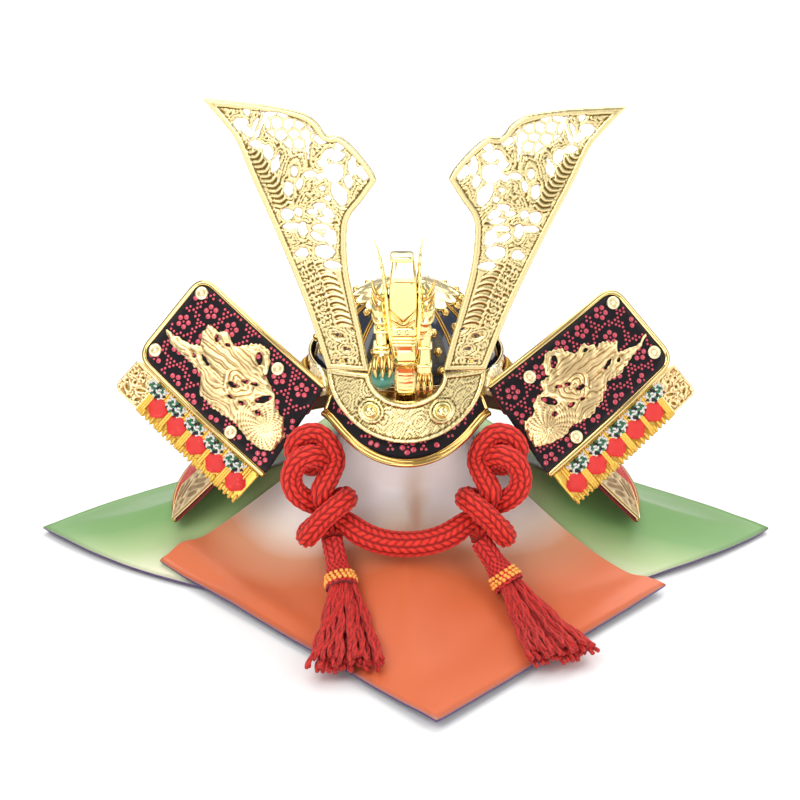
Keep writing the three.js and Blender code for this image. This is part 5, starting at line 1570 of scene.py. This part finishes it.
def make_bowl():
    rows, columns = 24, 13 * BOWL_RIBS
    angle, rise = full_turn(columns)[None, :], np.linspace(0, math.pi / 2, rows)[:, None]
    puff = np.abs(np.sin(angle * BOWL_RIBS / 2)) * np.cos(rise)
    points, faces = round_wall(bowl_at(angle, rise, -0.25 + 0.35 * puff), bowl_at(angle, rise, -BOWL_WALL))
    make_piece("ribbed_bowl", (points, faces), [LACQUER], ["bowl"])

    # gilt ribs: pairs of fine rolls from the edge to the top plate
    rise = np.linspace(0.02, math.radians(64), 24)
    turns = [(k + 0.5) * TAU / BOWL_RIBS + step / (BOWL_RADIUS * np.cos(rise))
             for k in range(BOWL_RIBS) for step in (-0.55, 0.55)]
    make_piece("gilt_ribs", stack([roll(bowl_at(turn, rise, 0.1), 0.42, 6) for turn in turns]),
               [GOLD])

    # rivets: domes with a collar, in a column on each plate
    parts, faces = [], grid_faces(len(RIVET_PROFILE), RIVET_SIDES, close_columns=True)
    for turn in full_turn(BOWL_RIBS):
        for level, size in RIVET_LEVELS:
            rise = math.radians(level)
            here = bowl_at(turn, rise, 0.0)
            ahead = unit(bowl_at(turn + 0.01, rise, 0.0) - here)
            above = unit(bowl_at(turn, rise + 0.01, 0.0) - here)
            rings = turned(here, ahead, above, np.cross(ahead, above), size * RIVET_PROFILE, RIVET_SIDES)
            parts.append((rings.reshape(-1, 3), faces))
    make_piece("bowl_rivets", stack(parts), [BRIGHT_GOLD])

    # gilt top plate with a scalloped edge
    rows, columns = 17, 12 * BOWL_RIBS
    angle, share = full_turn(columns)[None, :], np.linspace(0, 1, rows)[:, None]
    edge = np.radians(62 - 5 * np.abs(np.cos(angle * BOWL_RIBS / 2)) ** 0.6)
    rise = edge + (math.pi / 2 - edge) * share
    relief = 0.16 * np.cos(angle * BOWL_RIBS) * np.cos(rise) + 0.12 * np.cos(share * 30)
    lip = np.where(share < 0.06, 0.25, 0.0)
    points, faces = round_wall(bowl_at(angle, rise, 0.55 + relief + lip), bowl_at(angle, rise, 0.02))
    make_piece("gilt_top", (points, faces), [GOLD])
    make_crown()


def make_crown():
    """Rings of petals round a low collar."""
    rows, columns = 28, 160
    angle, t = full_turn(columns)[None, :], np.linspace(0, 1, rows)[:, None]
    radius = CROWN_RADIUS * (1 - t) + 0.02 * t
    petal = lambda count, low, high: (np.abs(np.cos(angle * count / 2)) * smooth_step(low, low + 0.03, t)
                                      * smooth_step(high, high - 0.03, t))
    height = 0.5 + 3.3 * t ** 0.8 + 0.9 * petal(16, 0.05, 0.4) + 0.7 * petal(12, 0.45, 0.7)
    height = height + 1.1 * smooth_step(0.74, 0.78, t) - 1.6 * smooth_step(0.86, 0.9, t)
    crown = BOWL_BASE + BOWL_RISE * math.sqrt(1 - (CROWN_RADIUS / BOWL_RADIUS) ** 2)
    points = about(radius, angle, crown + height)
    skirt = points[:1].copy()
    skirt[..., 2] = crown - 0.2
    faces = grid_faces(rows + 1, columns, close_columns=True)
    make_piece("petal_crown", (np.concatenate([skirt, points]).reshape(-1, 3), faces), [GOLD],
               ["crown_mount"])


def make_band():
    """Waist band: rolled edges and a row of chased rosettes, as a height over a cylinder."""
    rows, columns = 21, 360
    t, angle = np.linspace(0, 1, rows)[:, None], full_turn(columns)[None, :]
    rolled = 0.45 * (bell(t - 0.06, 0.05) + bell(t - 0.94, 0.05))
    along = (np.mod(angle * ROSETTES / TAU, 1) - 0.5) * TAU * BAND_OUTER / ROSETTES
    across = (t - 0.5) * BAND_WIDTH
    away, turn = np.hypot(along, across), np.arctan2(across, along)
    rosette = np.exp(-(away / 2.6) ** 4) * (0.45 + 0.3 * np.cos(turn * 6) * np.minimum(1, away / 1.2))
    ground = 0.08 * np.sin(angle * 420) * np.sin(t * 60)
    z = BOWL_BASE - BAND_DROP + BAND_WIDTH * t + 0 * angle
    points, faces = round_wall(about(BAND_OUTER - 0.35 + rolled + rosette + ground, angle, z),
                               about(BAND_OUTER - BAND_WALL + 0 * z, angle, z), close_last=True)
    make_piece("rosette_band", (points, faces), [GOLD], ["waist_band"])


make_bowl()
make_band()


# Crest: a dragon's head and forearms, built of lofts along the rise and swept horns and claws
CREST_Y = -(BAND_OUTER - BOWL_BACK) - GAP - 3.2
JEWEL_RADIUS = 4.9


def closed_rings(rings):
    """Closed mesh of stacked rings (rows, sides, 3), with its faces turned outwards."""
    rows, sides = rings.shape[:2]
    points = np.vstack([rings.reshape(-1, 3), rings[0].mean(0)[None], rings[-1].mean(0)[None]])
    faces = np.vstack([grid_faces(rows, sides, close_columns=True), *end_caps(rows, sides)])[:, ::-1]
    a, b, c, d = (points[faces[:, k]] - points.mean(0) for k in range(4))
    volume = np.sum(a * np.cross(b, c)) + np.sum(a * np.cross(c, d))
    return points, faces if volume > 0 else faces[:, ::-1]


def crest_loft(rows, count=42, sides=28, power=0.5, relief=None):
    """Stacked level rings: rows are (x, fore, rise, half width, half depth). A ring is a rounded
    box: the power of sine and cosine sets how square it is; relief(t, angle) is added outwards."""
    table = smooth_rows(rows, count)
    angle = full_turn(sides)[None, :]
    cos, sin = np.cos(angle), np.sin(angle)
    x, fore, rise, half, deep = (table[:, k:k + 1] for k in range(5))
    extra = relief(np.linspace(0, 1, count)[:, None], angle) if relief else 0.0
    across = np.sign(cos) * np.abs(cos) ** power * (half + extra)
    ahead = np.sign(sin) * np.abs(sin) ** power * (deep + extra)
    return closed_rings(np.stack([x + across, CREST_Y - fore + ahead, BOWL_BASE + rise + 0 * across], -1))


def crest_sweep(points, radii, sides=9):
    path, _ = spline([(x, CREST_Y - fore, BOWL_BASE + rise) for x, fore, rise in points], 8 * len(points))
    return sweep(path, smooth_rows(np.array(radii)[:, None], len(path))[:, 0], sides)


def slab(x, fore, rise, height, half, deep):
    """A cushioned slab of the crest between two rises."""
    rows = [(x, fore, rise + height * t, half - e, deep - e) for t, e in (
        (0, 0.5), (0.12, 0.12), (0.3, 0), (0.7, 0), (0.88, 0.12), (1, 0.5))]
    return crest_loft(rows, 12, 32, 0.35)


CREST_MIDDLE = -1.3


def crest_head():
    """Neck, head with a hollow at its front, bands round it and the hammered foot."""
    middle = CREST_MIDDLE
    front = lambda angle: bell(np.mod(angle - math.pi / 2, TAU) - math.pi, 0.75)
    hollow = lambda t, angle: -0.75 * front(angle) * smooth_step(0.42, 0.55, t) * smooth_step(0.97, 0.9, t)
    hammered = lambda t, angle: (0.14 * np.sin(t * 60 + 2 * np.sin(angle * 9))
                                 * np.sin(angle * 21 + 3 * np.sin(t * 23)))
    return [
        crest_loft([
            (-0.7, 1.6, 21.5, 4.2, 3.0), (-0.8, 4.4, 26, 4.8, 3.4), (middle, 6.0, 33, 5.0, 4.0),
            (middle, 7.6, 40, 5.2, 4.4), (middle, 9.0, 47, 5.4, 4.6), (middle, 10.0, 55, 5.4, 4.4),
            (middle, 10.3, 62, 5.0, 3.8), (middle, 10.1, 67, 4.4, 3.0), (middle, 9.8, 70.4, 3.9, 2.2),
        ], 62, 32, 0.35, hollow),
        slab(-1.8, 10.2, 68.0, 2.6, 4.5, 3.4),
        slab(middle, 10.3, 59.5, 0.9, 4.8, 4.4),
        slab(middle, 8.4, 37.2, 4.2, 5.4, 4.6),
        *[slab(middle, 6.0 + (rise - 32) * 0.3, rise, 1.5, half, 4.9)
          for rise, half in ((35.4, 5.6), (33.8, 5.5), (32.2, 5.3))],
        slab(-0.7, 4.9, 25.0, 5.6, 4.5, 4.5),
        crest_loft([(-0.3, 0.4, 2.4, 4.4, 2.8), (-0.3, 0.6, 10, 4.3, 2.9), (-0.3, 1.4, 19, 4.3, 3.3),
                    (-0.5, 3.0, 23.6, 4.5, 4.0)], 56, 44, 0.3, hammered),
        crest_sweep([(-5.2, 5.4, 22.6), (-0.3, 6.1, 22.9), (4.6, 5.4, 22.6)], [0.7, 0.85, 0.7]),
    ]


def crest_face():
    """Brow lines and eyes."""
    eye = [(12.7, 38.3, 0.15, 0.2), (12.8, 38.6, 0.75, 0.8), (12.9, 39.4, 1.0, 1.0), (12.8, 40.2, 0.75, 0.8),
           (12.7, 40.5, 0.15, 0.2)]
    return [
        crest_sweep([(-6.4, 13.2, 48.6), (-3.6, 13.7, 45.2), (-1.3, 13.9, 43.2), (1.0, 13.7, 45.2),
                     (3.8, 13.2, 48.6)], [0.35, 0.6, 0.75, 0.6, 0.35]),
        crest_sweep([(-5.9, 12.6, 44.2), (-1.3, 13.2, 41.9), (3.3, 12.6, 44.2)], [0.4, 0.6, 0.4]),
        *[crest_loft([(x, *row) for row in eye], 16, 16, 1.0) for x in (-2.9, 0.3)],
    ]


def crest_blades():
    """Upright blades with beaded outer edges, one on each side of the head."""
    bead = lambda t, angle: 0.18 * np.cos(t * 70) * smooth_step(0.35, 0.5, t) * smooth_step(0.95, 0.8, t)
    # fore, half width and half depth of both; x and rise of each
    rows = [(5.0, 1.1, 3.6), (7.4, 1.15, 4.4), (8.8, 1.1, 4.6), (9.8, 0.95, 3.8), (10.4, 0.8, 2.8),
            (10.6, 0.6, 1.6)]
    tips = {1: (6.2, 10.6, 77.2, 0.2, 0.4), -1: (-12.2, 10.8, 76.2, 0.2, 0.4)}
    lines = {1: [(3.4, 27), (4.4, 36), (5.0, 46), (5.0, 55), (4.9, 64), (5.3, 71)],
             -1: [(-4.8, 26), (-6.2, 36), (-7.2, 46), (-7.9, 55), (-8.9, 63), (-10.2, 69.5)]}
    return [crest_loft([(x, fore, rise, half, deep)
                        for (x, rise), (fore, half, deep) in zip(lines[side], rows)] + [tips[side]],
                       64, 18, 0.8, bead) for side in (1, -1)]


def crest_cheek(side, x0):
    """A grooved cheek with three curled locks."""
    out = lambda v: x0 + side * v
    cheek = [
        (7.2, 6.6, 58.5, 0.5, 1.0), (8.6, 7.4, 55, 2.1, 3.0), (9.6, 8.2, 49, 2.9, 4.0),
        (9.2, 8.8, 43.5, 2.8, 4.0), (8.2, 8.4, 39.5, 2.3, 3.4), (7.4, 7.2, 35, 1.6, 2.4),
        (6.9, 6.2, 31, 0.6, 1.2),
    ]
    lock = [(8.0, 11.5, 0), (9.8, 12.0, 1.8), (11.4, 10.6, 4.2), (12.4, 8.6, 7.4)]
    return [crest_loft([(out(v), *row) for v, *row in cheek], 40, 24, 0.8,
                       lambda t, angle: 0.3 * np.cos(t * 40 + 2 * np.sin(angle))),
            *[crest_sweep([(out(v), fore, start + up) for v, fore, up in lock], [0.8, 0.95, 0.8, 0.25])
              for start in (42, 47, 52)]]


def crest_arms():
    """The left forearm with a cuff and claws over the jewel, and the right one, whose claws rest
    low in the crescent."""
    return [
        crest_loft([
            (-10.4, 9.0, 41.5, 2.0, 2.4), (-9.9, 9.6, 38.5, 2.1, 2.6), (-9.6, 10.2, 33, 2.2, 2.7),
            (-9.4, 10.8, 28.6, 2.9, 3.0), (-9.3, 11.4, 25.8, 3.4, 3.2), (-9.2, 11.6, 24.9, 2.6, 2.4),
        ], 32, 22, 0.75),
        *[slab(-9.8, fore, rise, 1.5, half, 3.4)
          for rise, fore, half in ((38.6, 9.6, 3.0), (32.4, 10.2, 3.1), (30.6, 10.5, 3.3))],
        *[crest_sweep([(-9.2 + dx * 0.8, 12.2, 29.0), (-9.2 + dx, 14.6, 27.2), (-9.2 + dx, 16.6, 25.0),
                       (-9.2 + dx * 0.85, 17.8, 22.4)], [1.6, 1.5, 1.05, 0.25]) for dx in (-2.9, 0.0, 2.9)],
        crest_sweep([(-12.0, 10.6, 27), (-14.0, 12.0, 24.5), (-14.6, 13.2, 21.5)], [1.2, 1.0, 0.25]),
        crest_loft([
            (6.2, 6.8, 49, 1.2, 1.6), (6.9, 7.4, 45, 2.3, 2.8), (7.2, 7.2, 38, 2.5, 3.0),
            (7.0, 6.4, 31, 2.4, 2.9), (6.9, 5.6, 25, 2.7, 3.0), (7.0, 5.2, 20, 3.0, 3.0),
            (7.0, 5.0, 17.4, 2.2, 2.2),
        ], 38, 22, 0.75),
        *[slab(6.9, 5.4 + (rise - 20) * 0.09, rise, 1.4, 3.2, 3.5) for rise in (36.5, 30.5, 22.5)],
        *[crest_sweep([(7.0 + dx * 0.8, 6.0, 19.5), (7.0 + dx, 8.6, 17.2), (7.0 + dx * 1.1, 9.6, 14.2),
                       (7.0 + dx, 9.2, 11.4)], [1.2, 1.2, 0.9, 0.25]) for dx in (-2.3, 0.0, 2.3)],
    ]


def make_crest():
    points, faces = stack([*crest_head(), *crest_face(), *crest_blades(), *crest_cheek(-1, -1.0),
                           *crest_cheek(1, -1.6), *crest_arms()])
    make_piece("dragon_head_crest", (points, faces), [BRIGHT_GOLD], ["dragon_crest"])

    # jewel: a ball with a flattened seat where the claws hold it
    rows, sides = 26, 44
    polar = np.linspace(0.02, math.pi - 0.02, rows)[:, None]
    radius = JEWEL_RADIUS - 0.1 - 0.35 * bell(polar, 0.5)
    centre = np.array([-9.2, CREST_Y - 12.6, BOWL_BASE + 26.6 - JEWEL_RADIUS - 1.4])
    make_piece("jade_ball", closed_rings(ball(rows, sides, 0.02) * radius[..., None] + centre),
               [JADE], ["jewel"])


make_crest()


# radius and height of a ringed boss
BOSS_PROFILE = [
    (3.75, -0.2), (3.8, 0.35), (3.5, 0.75), (3.1, 0.8), (2.9, 0.5), (2.7, 0.45), (2.55, 0.8), (2.3, 1.7),
    (1.8, 2.4), (1.2, 2.75), (0.75, 2.8), (0.7, 2.45), (0.62, 2.4), (0.55, 3.0), (0.3, 3.2), (0.02, 3.25),
]


def make_base_rivets():
    for label, side in SIDES.items():
        x, z = side * BOSS_OUT, BASE_BOTTOM + BOSS_UP
        out = unit(np.array([2 * x / BASE_CURVE, -1, BASE_LEAN]))
        ahead = unit(np.cross(UP, out))
        here = np.array([x, base_face(x, z), z]) + out * 0.35
        points, faces = closed_rings(turned(here, ahead, np.cross(out, ahead), out, BOSS_PROFILE, 40))
        make_piece(f"ringed_boss_{label}", (points, faces), [GOLD], [f"base_rivet_{label}"])


make_base_rivets()


# Neck guard: laced lames, each a wall on the CAD's flared surface
BOTTOM_LAME, BOTTOM_WRAP = 4, 17.0
LACING_PITCH = 3.1
GUARD_NAMES = ["lame_first", "lame_second", "lame_third", "lame_fourth", "lame_bottom"]
# second colour: painted shade between the lacing's lobes and along the lames' borders
LACING_RED = make_braid_material("lacing_red", (0.78, 0.04, 0.03), (0.22, 0.006, 0.006), 0.5)


def guard_at(lame, turn, share, off):
    """Point of a lame: turn from its right front end (0) round the back to the left (1)."""
    turn, share, off = np.broadcast_arrays(turn, share, off)
    top, low = guard_edge(lame, lame), guard_edge(lame + 1, lame)
    top_wrap = BOTTOM_WRAP if lame == BOTTOM_LAME else GUARD_WRAPS[lame]
    wrap = top_wrap + (GUARD_WRAPS[lame + 1] - top_wrap) * share
    angle = np.radians(-wrap + turn * (180 + 2 * wrap))
    run = unit(np.array(low) - np.array(top))
    radius = top[0] + (low[0] - top[0]) * share - run[1] * off
    height = top[1] + (low[1] - top[1]) * share + run[0] * off
    return about(radius, angle, height)


def make_lame(lame):
    """A laced lame as one wall; gives the rolled lower edge, which is joined to the others."""
    columns, rows = (380, 15) if lame == BOTTOM_LAME else (310, 14)
    turn, share = np.linspace(0, 1, columns)[:, None], np.linspace(0, 1, rows)[None, :]
    pitches = round(guard_edge(lame + 1, lame)[0] * 3.9 / LACING_PITCH)
    cell = turn * pitches
    across = np.abs(np.mod(cell, 1) - 0.5) * 2
    lobes = np.sqrt(np.maximum(0, 1 - across ** 3))
    slant = np.where(np.mod(cell, 1) > 0.5, 1.0, -1.0) * np.mod(cell, 1)
    twist = np.abs(np.sin((share * 5.5 + slant) * math.pi)) ** 0.6
    border = smooth_step(0.0, 0.06, share) * smooth_step(1.0, 0.94, share)
    cord = 0.62 * lobes * (0.72 + 0.28 * twist) * border
    points, faces = open_wall(guard_at(lame, turn, share, GUARD_WALL - 0.55 + cord),
                              guard_at(lame, turn, share, 0.0))
    lay = np.zeros((2, columns, rows, 2))
    lay[..., 0], lay[..., 1] = share * 14, turn * pitches * LACING_PITCH
    # height sets the painted shade: dark between lobes and at the lame's top and bottom borders
    height = np.append(lobes * twist * border, np.full(columns * rows, 0.3))
    make_piece(f"laced_{GUARD_NAMES[lame]}", (points, faces), [LACING_RED], [GUARD_NAMES[lame]],
               uv=lay.reshape(-1, 2), values={"height": height})
    path = guard_at(lame, np.linspace(0.002, 0.998, 160), 1.0, GUARD_WALL * 0.5)
    return roll(path, 1.0 if lame == BOTTOM_LAME else 0.75, 6)


def make_guard():
    make_piece("guard_edges", stack([make_lame(lame) for lame in range(len(GUARD_NAMES))]), [GOLD])
    # chased leaf-shaped plates on the bottom lame's front ends
    reach, count = 0.062, 44
    u, v = np.linspace(0, 1, count)[:, None], np.linspace(0, 1, count)[None, :]
    for label, turn in (("right", u * reach), ("left", 1 - u * reach)):
        low = GUARD_WALL + GAP
        share = 0.04 + 0.96 * v * (1 - 0.25 * u * v)
        curls = np.sin(u * 15 + 2.4 * np.sin(v * 8)) * np.sin(v * 17 + 2 * np.sin(u * 9))
        rim = np.maximum(np.maximum(smooth_step(0.1, 0.04, u), smooth_step(0.9, 0.96, u)),
                         np.maximum(smooth_step(0.06, 0.02, v), smooth_step(0.94, 0.98, v)))
        points, faces = open_wall(
            guard_at(BOTTOM_LAME, turn, share, low + 0.75 + 0.22 * curls * (1 - rim) + 0.35 * rim),
            guard_at(BOTTOM_LAME, turn, share, low))
        # tone: painted shade in the curls' hollows, painted highlight on the rim and the curls' crests
        tone = np.clip(0.5 + 0.75 * curls * (1 - rim) + 0.2 * rim, 0, 1)
        make_piece(f"leaf_plate_{label}", (points, faces if label == "right" else faces[:, ::-1]),
                   [CHASED_PALE], [f"corner_plate_{label}"],
                   values={"tone": np.append(tone, np.full(tone.size, EVEN_TONE))})


make_guard()


# Beside the waist band: a petalled disc and a fan of gold cords at each side
def make_sides():
    rows, sides = 22, 72
    t, spin = np.linspace(0, 1, rows)[:, None], full_turn(sides)[None, :]
    petals = np.abs(np.cos(spin * 8))
    radius = 6.4 * (1 - 0.99 * t) * (1 + 0.04 * petals * (1 - t))
    height = 0.9 + 0.7 * smooth_step(0, 0.1, t) + 0.35 * petals * smooth_step(0.65, 0.5, t)
    height = height + 0.8 * smooth_step(0.68, 0.74, t)
    height, radius = np.concatenate([height[:1] * 0, height]), np.concatenate([radius[:1], radius])
    for label, side in SIDES.items():
        turn = math.radians(-31)
        out = np.array([side * math.cos(turn), math.sin(turn), 0.0])
        here = np.array([0, BOWL_BACK, BOWL_BASE + 3.0]) + out * (BAND_OUTER + 0.2)
        ring = np.cos(spin)[..., None] * np.cross(UP, out) + np.sin(spin)[..., None] * UP
        points, faces = closed_rings(here + radius[..., None] * ring + height[..., None] * out)
        make_piece(f"side_rosette_{label}", (points, faces), [PALE_GOLD])
        down, parts = np.linspace(-0.1, 1.05, 20), []
        for k in range(14):
            at = 0.008 + 0.011 * k
            parts.append(roll(guard_at(0, at if side > 0 else 1 - at, down, GUARD_WALL + 0.65), 0.62, 8))
        make_piece(f"cord_fan_{label}", stack(parts), [GOLD_THREAD])


make_sides()


# CAD nodes that stay as they are get their slot's material
BY_SLOT = {
    "gold": GOLD, "pale_gold": PALE_GOLD, "leather": LEATHER, "lacquer": LACQUER, "red_braid": CORD_RED,
    "orange_silk": ORANGE_SILK, "green_silk": GREEN_SILK, "laced_lacquer": CORD_RED, "jade": JADE,
    "board": BOARD,
}
slots = {row["node"]: row["material_slot"] for row in frame["record"]["subparts"]}
for name, obj in frame["nodes"].items():
    for slot_row in obj.material_slots:
        slot_row.material = BY_SLOT[slots[name]]
